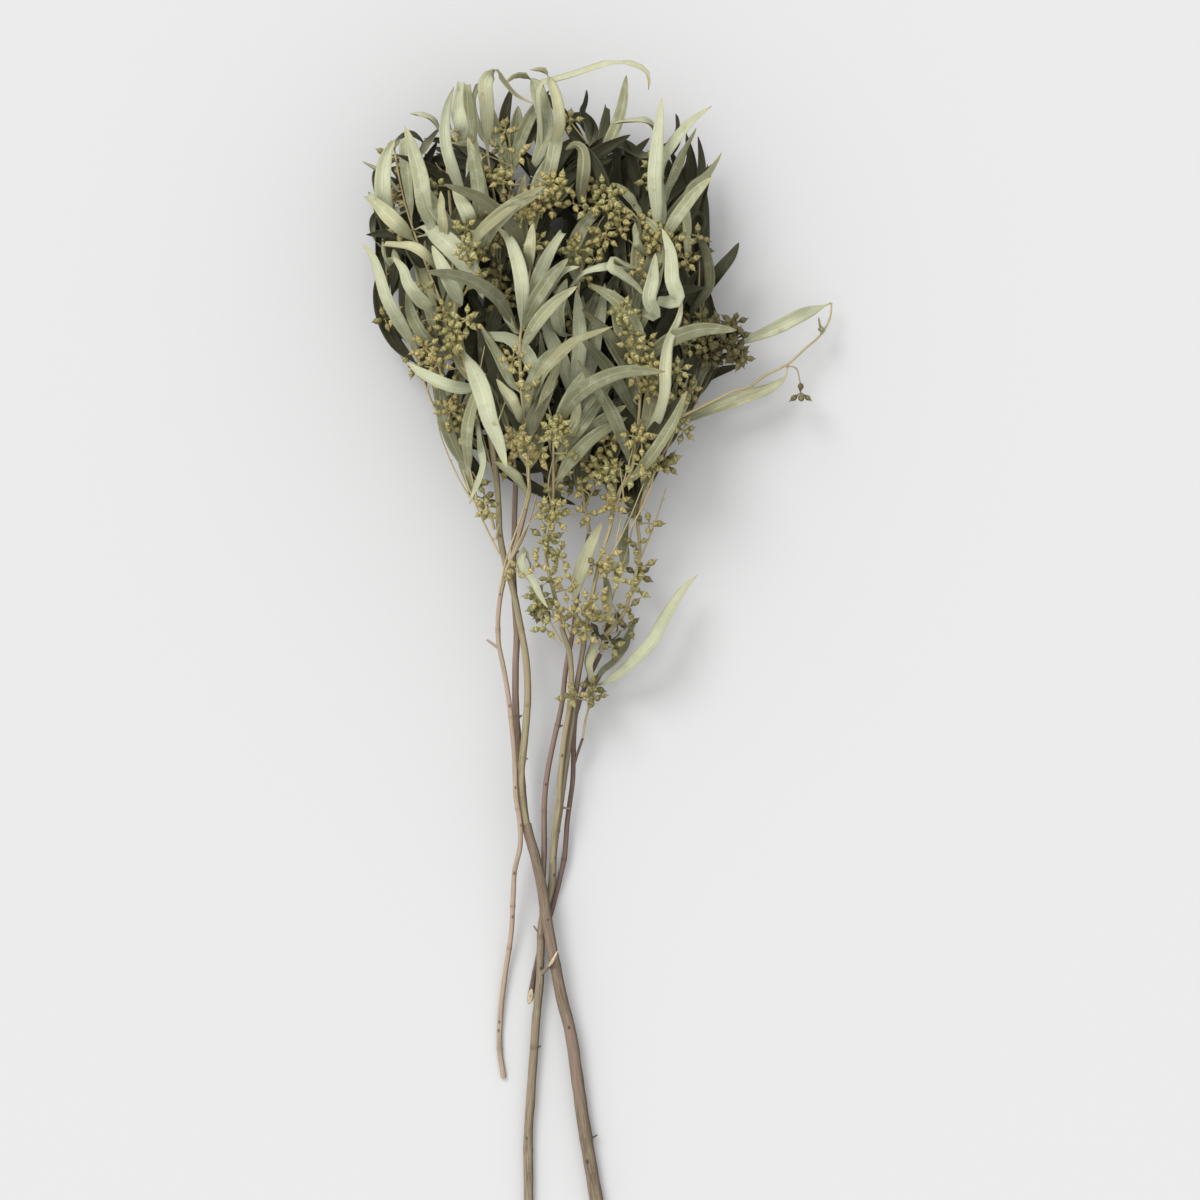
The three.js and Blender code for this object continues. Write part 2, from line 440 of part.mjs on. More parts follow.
// Plan of a leaf's middle line as a smooth curve from its twig
function leafPlan(anchor, route) {
  const start = new THREE.Vector3(anchor.x, anchor.y, 0);
  const rest = start.distanceTo(route[0]) < ROOT_NEAR ? route.slice(1) : route;
  return new THREE.CatmullRomCurve3([start, ...rest], false, 'centripetal');
}

// Height of a leaf's middle line at a share of its length
function leafHeight(leaf, lift, share) {
  const middle = Math.max(REST_HEIGHT, leaf.level + lift);
  const tip = Math.max(REST_HEIGHT, leaf.tip + lift);
  if (share < 0.5) return leaf.root + (middle - leaf.root) * smooth(share * 2);
  return middle + (tip - middle) * smooth(share * 2 - 1);
}

function leafPoint(leaf, lift, share) {
  const point = leaf.plan.getPointAt(share);
  return new THREE.Vector3(point.x, point.y, leafHeight(leaf, lift, share));
}

// One leaf as read from its row: the height class, the width it shows and its plan from root to tip
function leafFrom(twigs, [rise, shown, ...row], random) {
  const anchor = anchorOn(twigs, new THREE.Vector3(row[0], row[1], 0));
  const plan = leafPlan(anchor, points(row, 2));
  const width = Math.max(shown, Math.min(LEAF_WIDTH, shown / Math.cos(MOST_TURN)));
  const turn = Math.acos(Math.min(1, shown / width)) * (random() < 0.5 ? -1 : 1);
  const rests = rise === 'rest';
  const level = rests ? REST_HEIGHT : anchor.z + LEAF_RISE[rise] + (random() - 0.5) * LEVEL_SPREAD;
  const tip = rests ? REST_HEIGHT : level + TIP_DROP[rise] + (random() - 0.5) * TIP_SPREAD;
  return { plan, width, turn, root: anchor.z, level, tip, rests };
}

// Two triangles for a four-sided face that may be twisted, parted along the corner pair that stands out
function bulged([first, second, third, fourth], corners) {
  const [beside, across, behind] = [second, third, fourth].map((at) => corners[at].clone().sub(corners[first]));
  return beside.dot(across.cross(behind)) < 0
    ? [[first, second, third], [first, third, fourth]]
    : [[first, second, fourth], [second, third, fourth]];
}

// Blade of a leaf: flat above, keeled below along its midrib, turned about its middle line
function blade(leaf, lift) {
  const sections = leaf.plan.getLength() >= LONG_LEAF ? LONG_BLADE : SHORT_BLADE;
  const corners = [];
  sections.forEach(([share, wide, deep]) => {
    const point = leafPoint(leaf, lift, share);
    const before = leafPoint(leaf, lift, Math.max(0, share - DIRECTION_STEP));
    const after = leafPoint(leaf, lift, Math.min(1, share + DIRECTION_STEP));
    const along = after.sub(before).normalize();
    const level = new THREE.Vector3(along.y, -along.x, 0).normalize();
    const across = level.applyAxisAngle(along, leaf.turn * smooth(share * 4));
    const up = across.clone().cross(along);
    const reach = (wide * leaf.width) / 2;
    const half = (deep * MIDRIB_DEPTH) / 2;
    corners.push(point.clone().addScaledVector(across, -reach).addScaledVector(up, half));
    corners.push(point.clone().addScaledVector(across, reach).addScaledVector(up, half));
    corners.push(point.clone().addScaledVector(up, -half));
  });
  const tip = corners.length;
  corners.push(leafPoint(leaf, lift, 1));
  const triangles = [[0, 2, 1]];
  for (let left = 0; left + 3 < tip; left += 3) {
    const [right, keel] = [left + 1, left + 2];
    triangles.push(...bulged([left, right, right + 3, left + 3], corners));
    triangles.push(...bulged([left, left + 3, keel + 3, keel], corners));
    triangles.push(...bulged([right, keel, keel + 3, right + 3], corners));
  }
  const [left, right, keel] = [tip - 3, tip - 2, tip - 1];
  triangles.push([left, right, tip], [left, tip, keel], [keel, tip, right]);
  return solid(corners, triangles);
}

// Seed head: a knob with eight faces, one drawn out to its stalk and the others to pointed seed cups
function seedHead(head, lift) {
  const centre = new THREE.Vector3(head.x, head.y, head.level + lift);
  const down = head.anchor.clone().sub(centre).normalize();
  const turned = new THREE.Quaternion().setFromUnitVectors(new THREE.Vector3(-1, -1, -1).normalize(), down);
  const spin = new THREE.Quaternion().setFromAxisAngle(down, head.spin);
  const place = (x, y, z) => new THREE.Vector3(x, y, z).applyQuaternion(turned).applyQuaternion(spin);
  const ways = [[1, 0, 0], [-1, 0, 0], [0, 1, 0], [0, -1, 0], [0, 0, 1], [0, 0, -1]];
  const axes = ways.map((way) => place(...way));
  const corners = axes.map((axis) => centre.clone().addScaledVector(axis, NUT_HUB));
  const triangles = [];
  [0, 1].forEach((across) => [2, 3].forEach((along) => [4, 5].forEach((up) => {
    const odd = (across + along + up) % 2 === 1;
    const face = odd ? [across, up, along] : [across, along, up];
    const facing = axes[across].clone().add(axes[along]).add(axes[up]).normalize();
    const isStalk = facing.dot(down) > 0.99;
    if (!isStalk && head.radius < FULL_HEAD && facing.dot(down) > 0) {
      triangles.push(face);
      return;
    }
    const reach = isStalk ? centre.distanceTo(head.anchor) : head.radius - NUT_WIDTH * CUP_SETBACK;
    const wide = isStalk ? PEDUNCLE : NUT_WIDTH;
    const middle = centre.clone().addScaledVector(facing, reach);
    const ring = face.map((corner) => {
      const outward = axes[corner].clone().addScaledVector(facing, -axes[corner].dot(facing)).normalize();
      corners.push(middle.clone().addScaledVector(outward, wide * CUP_CORNER));
      return corners.length - 1;
    });
    for (let side = 0; side < 3; side += 1) {
      const next = (side + 1) % 3;
      triangles.push([face[side], face[next], ring[next]], [face[side], ring[next], ring[side]]);
    }
    if (isStalk) {
      triangles.push(ring);
      return;
    }
    corners.push(centre.clone().addScaledVector(facing, head.radius + BEAK));
    const point = corners.length - 1;
    for (let side = 0; side < 3; side += 1) triangles.push([ring[side], ring[(side + 1) % 3], point]);
  })));
  return solid(corners, triangles);
}

function headFrom(twigs, [x, y, radius], random) {
  const anchor = anchorOn(twigs, new THREE.Vector3(x, y, 0));
  const level = anchor.z + HEAD_RISE + (random() - 0.5) * HEAD_SPREAD;
  return { x, y, radius: Math.max(radius, LEAST_HEAD), anchor, level, spin: random() * Math.PI * 2 };
}

// What stands in the way: round spots in plan, each with its owner and the heights that it fills.
// A spot near the root of its piece is not apart: it may touch other pieces of the same spray.
const taken = [];

function spotsOfTwig({ line, thickness }) {
  const spots = [];
  for (let at = 0; at + 1 < line.length; at += 1) {
    const steps = Math.ceil(line[at].distanceTo(line[at + 1]) / SPOT_STEP);
    for (let step = 0; step < steps; step += 1) {
      const { x, y, z } = line[at].clone().lerp(line[at + 1], step / steps);
      spots.push({ x, y, z, reach: thickness[at] / 2, half: thickness[at] / 2, apart: true });
    }
  }
  return spots;
}

// Share of a leaf's width that its spots fill at a share of its length
function fullness(share) {
  return Math.sin(Math.PI * Math.min(1, share * 0.9 + 0.06)) ** 0.7;
}

function spotsOfLeaf(leaf, lift) {
  const spots = [];
  const steps = Math.ceil(leaf.plan.getLength() / SPOT_STEP);
  for (let step = 0; step <= steps; step += 1) {
    const share = step / steps;
    const { x, y, z } = leafPoint(leaf, lift, share);
    const wide = fullness(share);
    const reach = (leaf.width * Math.cos(leaf.turn) * wide) / 2 + LEAF_MARGIN.across;
    const half = (leaf.width * Math.abs(Math.sin(leaf.turn)) * wide) / 2 + LEAF_MARGIN.up;
    spots.push({ x, y, z, reach, half, apart: share > ROOT_SHARE });
  }
  return spots;
}

function spotsOfHead(head, lift) {
  const centre = new THREE.Vector3(head.x, head.y, head.level + lift);
  const size = head.radius + HEAD_MARGIN;
  const spots = [{ x: centre.x, y: centre.y, z: centre.z, reach: size, half: size, apart: true }];
  const steps = Math.ceil(centre.distanceTo(head.anchor) / SPOT_STEP);
  for (let step = 0; step < steps; step += 1) {
    const { x, y, z } = head.anchor.clone().lerp(centre, step / steps);
    spots.push({ x, y, z, reach: PEDUNCLE / 2, half: PEDUNCLE / 2, apart: false });
  }
  return spots;
}

function inTheWay(spot, owner, strict) {
  return taken.some((other) => {
    if (other.owner === owner && !(strict && spot.apart && other.apart)) return false;
    const height = Math.abs(other.z - spot.z) - other.half - spot.half;
    if (height > CLEARANCE) return false;
    return Math.hypot(other.x - spot.x, other.y - spot.y) < other.reach + spot.reach + CLEARANCE;
  });
}

// First lift at which a piece clears all the others, or else every other branch, or null
function settle(spotsAt, lifts, owner) {
  const clearing = (strict) => lifts.find((height) => {
    const spots = spotsAt(height);
    const sinks = spots.some((spot) => spot.z - Math.min(spot.half, SINK_HALF) < -MOST_SINK);
    return !sinks && !spots.some((spot) => inTheWay(spot, owner, strict));
  });
  const lift = clearing(true) ?? clearing(false);
  if (lift === undefined) return null;
  taken.push(...spotsAt(lift).map((spot) => ({ ...spot, owner })));
  return lift;
}

// Is a plan point inside the outline of the head?
function inside(x, y) {
  let within = false;
  for (let at = 0, before = OUTLINE.length - 1; at < OUTLINE.length; before = at, at += 1) {
    const [ax, ay] = OUTLINE[at];
    const [bx, by] = OUTLINE[before];
    if (ay > y !== by > y && x < ((bx - ax) * (y - ay)) / (by - ay) + ax) within = !within;
  }
  return within;
}

// A leaf deep in the head, bent away from a point of a twig
function deepLeaf(twigs, random) {
  const { line } = twigs[Math.floor(random() ** 2 * twigs.length)];
  const at = 1 + Math.floor(random() * (line.length - 2));
  const along = line[at + 1].clone().sub(line[at]);
  const side = random() < 0.5 ? -1 : 1;
  const heading = Math.atan2(along.y, along.x) + side * between(DEEP_SPREAD, random());
  const length = between(DEEP_LENGTH, random());
  const bend = (random() - 0.5) * DEEP_BEND;
  const width = between(DEEP_WIDTH, random());
  const turn = (random() - 0.5) * DEEP_TURN;
  const level = line[at].z + between(DEEP_DROP, random());
  const droop = (random() - DEEP_DROOP.middle) * DEEP_DROOP.sweep;
  const route = DEEP_ROUTE.map((share) => {
    const angle = heading + bend * share;
    const reach = length * share;
    return new THREE.Vector3(line[at].x + Math.cos(angle) * reach, line[at].y + Math.sin(angle) * reach, 0);
  });
  const start = new THREE.Vector3(line[at].x, line[at].y, 0);
  const plan = new THREE.CatmullRomCurve3([start, ...route], false, 'centripetal');
  const middle = Math.max(level, DEEP_LEAST.middle);
  const tip = Math.max(middle + droop, DEEP_LEAST.tip);
  return {
    leaf: { plan, width, turn, root: line[at].z, level: middle, tip },
    fits: line[at].y > THICKET && route.every(({ x, y }) => inside(x, y)),
  };
}

// The same solid with its corners moved a little, apart from those on the surface
function uneven(body) {
  const random = draws(SEED);
  return body.warp((corner) => {
    if (corner[2] < UNEVEN) return;
    for (let at = 0; at < 3; at += 1) corner[at] += (random() - 0.5) * UNEVEN;
  });
}

// One solid from many: joined, cut level at the surface, with loose scraps left out
function joined(solids) {
  const whole = wasm.Manifold.union(solids).trimByPlane([0, 0, 1], 0).asOriginal().simplify(LEAST_DETAIL);
  const pieces = whole.decompose().sort((one, other) => other.volume() - one.volume());
  return uneven(pieces[0]);
}

function node(name, body, finish) {
  const mesh = body.getMesh();
  const positions = new Float32Array(mesh.triVerts.length * 3);
  mesh.triVerts.forEach((vertex, at) => {
    positions[at * 3] = mesh.vertProperties[vertex * mesh.numProp] + CENTRE_SHIFT.x;
    positions[at * 3 + 1] = mesh.vertProperties[vertex * mesh.numProp + 1] + CENTRE_SHIFT.y;
    positions[at * 3 + 2] = mesh.vertProperties[vertex * mesh.numProp + 2];
  });
  const geometry = new THREE.BufferGeometry();
  geometry.setAttribute('position', new THREE.BufferAttribute(positions, 3));
  const made = new THREE.Mesh(geometry, new THREE.MeshStandardMaterial(finish));
  made.name = name;
  return made;
}

const group = new THREE.Group();
group.name = 'dried_eucalyptus_bunch';
const random = draws(SEED);

const stems = Object.fromEntries(Object.entries(STEMS).map(([name, rows]) => [name, rows.map(twig)]));
const sprays = Object.fromEntries(Object.entries(TWIGS).map(([name, rows]) => [name, rows.map(twig)]));
[...Object.entries(stems), ...Object.entries(sprays)].forEach(([owner, twigs]) => {
  twigs.forEach((one) => taken.push(...spotsOfTwig(one).map((spot) => ({ ...spot, owner }))));
});

Object.entries(stems).forEach(([name, twigs]) => {
  const sidesOf = (one) => (one.thickness[0] > THIN_STEM ? STEM_SIDES[name] : SIDES.thin);
  let body = joined(twigs.map((one) => stick(one, sidesOf(one))));
  if (name === 'stem_slanted') {
    const facing = new THREE.Vector3(...SLANT_FACING).normalize();
    const inward = facing.clone().negate();
    body = body.trimByPlane(inward.toArray(), inward.dot(new THREE.Vector3(...SLANT_POINT)));
  }
  group.add(node(name, body, FINISHES[name]));
});

const twigOf = (one) => stick(one, one.thickness[0] > THIN_TWIG ? SIDES.twig : SIDES.thin);
const bodies = Object.fromEntries(Object.entries(sprays).map(([name, twigs]) => [name, twigs.map(twigOf)]));
Object.entries(SEED_HEADS).forEach(([name, rows]) => rows.forEach((row) => {
  const head = headFrom(sprays[name], row, random);
  const lift = settle((height) => spotsOfHead(head, height), HEAD_LIFTS, name);
  if (lift !== null) bodies[name].push(seedHead(head, lift));
}));
Object.entries(LEAVES).forEach(([name, rows]) => rows.forEach((row) => {
  const leaf = leafFrom(sprays[name], row, random);
  const lift = settle((height) => spotsOfLeaf(leaf, height), leaf.rests ? [0] : LEAF_LIFTS, name);
  if (lift !== null) bodies[name].push(blade(leaf, lift));
}));
Object.entries(DEEP_LEAVES).forEach(([name, count]) => {
  for (let made = 0, tries = 0; made < count && tries < count * TRIES; tries += 1) {
    const { leaf, fits } = deepLeaf(sprays[name], random);
    const lift = fits ? settle((height) => spotsOfLeaf(leaf, height), LEAF_LIFTS, name) : null;
    if (lift !== null) {
      bodies[name].push(blade(leaf, lift));
      made += 1;
    }
  }
});
Object.entries(bodies).forEach(([name, solids]) => {
  group.add(node(`spray_${name}`, joined(solids), FINISHES.spray));
});

export default group;
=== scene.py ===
"""Bunch of dried seeded eucalyptus, lying loose on a pale surface and seen from straight above.

Plan positions are in millimetres, X across the bunch and Y from the cut ends to the head. They become metres
when a mesh is made. Heights are above the surface.
"""

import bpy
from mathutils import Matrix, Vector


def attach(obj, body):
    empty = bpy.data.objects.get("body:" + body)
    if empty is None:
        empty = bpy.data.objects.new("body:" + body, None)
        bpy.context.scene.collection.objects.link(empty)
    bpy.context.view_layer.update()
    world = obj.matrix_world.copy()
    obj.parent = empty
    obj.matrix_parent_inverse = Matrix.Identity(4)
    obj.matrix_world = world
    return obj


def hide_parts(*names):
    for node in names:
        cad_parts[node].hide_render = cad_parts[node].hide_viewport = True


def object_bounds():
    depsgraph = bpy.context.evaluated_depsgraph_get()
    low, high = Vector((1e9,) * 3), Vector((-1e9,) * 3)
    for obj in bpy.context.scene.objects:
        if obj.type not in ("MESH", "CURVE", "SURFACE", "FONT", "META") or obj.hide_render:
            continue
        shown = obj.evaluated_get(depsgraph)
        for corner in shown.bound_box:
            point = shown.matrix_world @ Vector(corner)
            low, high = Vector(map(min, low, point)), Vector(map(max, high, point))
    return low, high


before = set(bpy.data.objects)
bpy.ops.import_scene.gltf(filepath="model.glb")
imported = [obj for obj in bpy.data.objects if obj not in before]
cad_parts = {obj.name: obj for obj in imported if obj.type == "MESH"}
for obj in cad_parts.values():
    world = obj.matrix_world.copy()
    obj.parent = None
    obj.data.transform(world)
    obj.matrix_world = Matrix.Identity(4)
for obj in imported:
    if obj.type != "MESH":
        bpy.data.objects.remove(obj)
CAD_BOX = [list(map(float, corner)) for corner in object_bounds()]

import logging
import math
from collections.abc import Callable
from dataclasses import dataclass, field
from enum import Enum

import bpy
import numpy as np
from mathutils import Vector, noise

LOG = logging.getLogger("eucalyptus")
Row = list[float]
Skin = bpy.types.Material
Array = np.ndarray
Pair = tuple[float, float]
Way = tuple[float, float, float]
Faces = list[tuple[int, ...]]

MM = 0.001
CENTRE_SHIFT = np.array([0.5, 0.5, 0.0])


class Rise(Enum):
    """Where a leaf lies in the depth of its spray."""

    TOP = "top"
    MIDDLE = "middle"
    LOW = "low"
    REST = "rest"
    BED = "bed"


# Bare stems: thickness at the cut end and at the far end, then x, y, z along the middle
STEMS: dict[str, list[Row]] = {
    "stem_right": [
        [8.3, 6.0, -1.3, -347, 3.9, -6, -320, 4.3, -12.2, -280, 5.6, -18, -240, 7.4, -23, -220, 8.7,
         -27, -200, 10.2, -29, -190, 11, -32.5, -170, 12.4, -35.5, -150, 13.4, -40, -130, 15.2,
         -43.2, -119, 16.6, -44.6, -112, 17.6],
        [4.8, 3.3, -43.8, -116.5, 17, -46, -107, 18.4, -48, -90, 20.4, -47.8, -80, 21.5, -46.8, -70, 22.7,
         -44.8, -50, 25, -43.8, -30, 27.5, -45, -10, 30, -48.5, 10, 32.5, -52.5, 30, 34.7, -57.5, 48, 37.5,
         -60.3, 63, 41, -61.2, 82, 44, -62.5, 100, 47, -65.5, 120, 50.7, -68.5, 137.7, 53.9],
        [4.8, 3.1, -43.8, -116.5, 16.6, -46, -105, 15.2, -47.6, -85, 16.4, -49, -70, 17.8, -51, -45, 20,
         -51.3, -20, 22.2, -50.5, 3, 24.4, -51.5, 20, 26.2, -52.4, 40, 28.6, -51.8, 70, 31.6,
         -51, 95.7, 34],
    ],
    "stem_centre": [
        [6.0, 3.2, -43.5, -347, 2.7, -43.8, -320, 3.1, -43.7, -300, 3.6, -41.6, -270, 4.2, -38.8, -230, 5.3,
         -36.5, -205, 6.3, -36.2, -190, 6.6, -35.3, -172, 6.6, -29.5, -150, 7, -28.3, -130, 9.6,
         -25.5, -110, 12, -22.8, -90, 14.2, -20, -70, 16.6, -17, -50, 19.2, -14.5, -30, 22, -11, -10, 25.4,
         -8.9, 4.7, 27.5],
        [2.8, 1.6, -36.6, -205, 6.4, -32.3, -200, 12.2, -30, -197, 15.9, -25, -188, 16.6],
        [1.5, 0.9, -36.2, -181, 6.8, -40.5, -174.5, 8.8],
        [3.6, 3.2, -28.9, -137, 8.8, -27.9, -120, 12.6, -25.2, -100, 16.4, -24, -82, 19, -22, -62, 21.6,
         -18.5, -40, 24.5, -17.4, -22, 26.6, -18.4, -8, 28.6, -21.2, 1, 30, -23.3, 7.7, 31],
        [3.6, 2.8, -35.2, -171, 6.5, -35, -150, 6.8, -34, -125, 8, -33.9, -100, 9.8, -31.8, -80, 11.8,
         -27.8, -60, 14.2, -23.3, -40, 16.4, -21, -20, 18.2, -18, -3, 20, -15.2, 12, 21.6, -13.5, 30, 24,
         -10.2, 47, 26.6, -6.6, 64.2, 29],
        [1.6, 1.2, -24, -102, 12.8, -18.6, -103, 13.6],
    ],
    "stem_left": [
        [3.2, 2.8, -58.8, -268, 1.4, -61.3, -250, 1.5, -60.8, -230, 2.2, -57.3, -200, 4.2, -54.2, -180, 7,
         -53, -160, 10.8, -51.8, -140, 15.2, -48.6, -126, 18.6, -48.6, -112, 20.8, -51, -95, 22.6,
         -52, -70, 24.2, -54.8, -40, 26.6, -57.8, -20, 29, -61.5, 0, 31.6, -61, 20, 35.4, -57.5, 38, 39.8,
         -54, 47, 42, -50.5, 57, 44, -44.7, 78.6, 48.4],
        [2.0, 1.4, -61.6, -5, 31, -68.5, 0, 32.6],
        [1.5, 1.1, -54, 47, 42, -46, 62, 48.5, -41, 76, 53.4, -38, 87, 57],
    ],
    "stem_slanted": [
        [3.2, 2.9, -43.8, -224, 1.4, -40, -205, 1.5, -36.8, -190, 1.8, -29.4, -165, 2.2, -25.5, -150, 3.4,
         -21.8, -133, 5, -19.8, -110, 7, -16.6, -85, 9.4, -16.2, -65, 11.4, -14.6, -45, 12.6, -8, -26, 14,
         0.3, -8.7, 15.5],
        [1.8, 1.6, -16.4, -78, 10, -13.2, -68, 12.2, -10.45, -59.9, 13.5],
    ],
}

# Green twigs of each spray: thickness at both ends, then x, y, z along the middle
TWIGS: dict[str, list[Row]] = {
    "left": [
        [3.2, 1.7, -68.6, 138, 54, -72, 150, 56, -79, 160, 58, -84, 180, 61, -87, 200, 62, -88, 220, 61,
         -88, 240, 58, -90, 262, 54, -92, 285, 50, -93, 303, 46],
        [1.9, 1.3, -84, 180, 61, -94, 200, 60, -103, 222, 57, -110, 240, 53, -117, 262, 48, -122, 284, 43,
         -124, 296, 40],
        [1.8, 1.3, -87, 200, 62, -78, 212, 64, -73, 225, 64, -74, 240, 62, -77, 257, 59],
        [1.8, 1.2, -79, 160, 58, -88, 168, 58, -98, 178, 55, -108, 190, 51],
    ],
    "side": [
        [2.0, 1.3, -63.6, 66.5, 41.4, -66.4, 75, 40, -73, 80.5, 38, -77, 86, 37, -81, 95, 35, -84, 104, 34,
         -88, 115, 32, -91, 123, 31, -95, 133, 30, -100, 140, 29, -105, 152, 28, -109, 165, 26,
         -116, 180, 24, -122, 193, 21, -127, 207, 18, -130, 222, 15],
        [1.3, 1.0, -91, 123, 31, -84, 131, 34, -76, 137, 37],
        [1.2, 0.9, -66.4, 75, 40, -70, 88, 39, -78, 98, 38, -86, 108, 36, -92, 120, 34, -80, 124, 33,
         -74, 120, 33],
    ],
    "back": [
        [3.0, 1.7, -51, 96.2, 34, -53, 120, 32, -57, 150, 31, -60, 175, 31, -60, 200, 33, -60, 225, 37,
         -61, 250, 41, -65, 275, 44, -68, 295, 46],
        [1.6, 1.2, -61, 250, 41, -56, 262, 43, -53, 278, 45, -54, 296, 45],
    ],
    "crown": [
        [2.8, 1.6, -44.6, 79, 48.5, -42.5, 88, 51, -43, 100, 54, -44, 115, 57, -45, 130, 59, -47, 150, 62,
         -48, 170, 64, -47.5, 183, 65, -45, 200, 64, -42, 220, 61, -40, 240, 57, -38, 257, 53, -37, 276, 49,
         -35, 290, 46],
        [1.5, 1.2, -39, 248, 55, -34, 260, 56, -30, 272, 56],
    ],
    "star": [
        [3.0, 1.6, -23.4, 8, 31, -25.5, 17, 32, -27, 25, 33, -29, 33, 34.5, -31, 41, 36, -32.5, 50, 38,
         -31.5, 60, 41, -29, 74, 45, -28, 90, 49, -28, 105, 52, -28, 122, 56, -29, 134, 58],
        [1.5, 1.1, -25, 14, 31.5, -30, 14, 33, -35, 20, 35, -39, 27, 37, -42, 36, 39, -42, 46, 41],
    ],
    "centre": [
        [2.6, 1.6, -6.4, 65.2, 29.1, -9, 80, 31, -12, 100, 34, -12, 115, 36, -12, 130, 38, -15, 147, 41,
         -17, 165, 43, -16, 190, 45, -13, 210, 46, -10, 234, 46, -9, 261, 44, -8, 280, 42, -6, 298, 38],
        [1.5, 1.1, -9, 80, 31, -3, 92, 34, 4, 101, 36, 6, 118, 38],
        [1.5, 1.1, -10, 234, 46, 2, 242, 48, 5, 256, 47, 2, 269, 46],
    ],
    "column": [
        [3.0, 1.6, -8.8, 5, 27.6, -7, 15, 29, -3, 35, 32, 1, 52, 35, 6, 68, 38, 8, 80, 41, 12, 90, 44,
         19, 102, 47, 21, 115, 49, 23, 130, 51, 24, 150, 53, 22, 160, 54, 21, 178, 55, 23, 195, 55,
         25, 215, 54, 26, 235, 52, 29, 250, 50, 33, 265, 48, 35, 285, 45, 35, 298, 42],
        [1.4, 1.1, -8, 8, 28, -13, 13, 29.5, -16, 20, 31],
        [1.5, 1.2, 28, 246, 50.5, 20, 256, 50, 11, 264, 48],
        [1.5, 1.2, 26, 226, 53, 36, 236, 52, 46, 242, 48, 53, 244, 45],
        [2.4, 1.3, 22.6, 126, 50.5, 35, 128, 47, 50, 135, 43, 60, 140, 40, 70, 145, 36, 80, 150, 33,
         90, 153, 30, 100, 160, 26, 110, 165, 22, 115, 168, 20, 125, 177, 17, 133, 184, 15, 138, 191, 13,
         140.5, 198, 12, 141, 205, 11],
        [1.2, 0.9, 111, 166, 22, 119, 165, 17, 122, 156, 11],
    ],
    "right": [
        [2.8, 1.5, 0.6, -7.9, 15.6, 3, 2, 17, 8, 8, 17.5, 14, 15, 18, 19, 30, 20, 23, 45, 21, 24, 58, 22,
         23, 72, 24, 26, 86, 26, 31, 97, 28, 37, 110, 30, 44, 124, 31, 50, 140, 31, 56, 158, 30,
         60, 176, 29, 61, 195, 28, 60, 212, 27, 60, 228, 26, 59, 243, 25],
        [1.6, 1.2, 59, 170, 29.5, 68, 177, 31, 77, 181, 31, 85, 177, 29],
        [1.2, 0.9, 3, 2, 17, 8, 4, 16, 15, 6, 15],
    ],
    "low": [
        [1.7, 1.3, -10.4, -59.5, 13.6, -9, -50, 14.5, -7, -42, 16, -5, -33, 17],
    ],
}

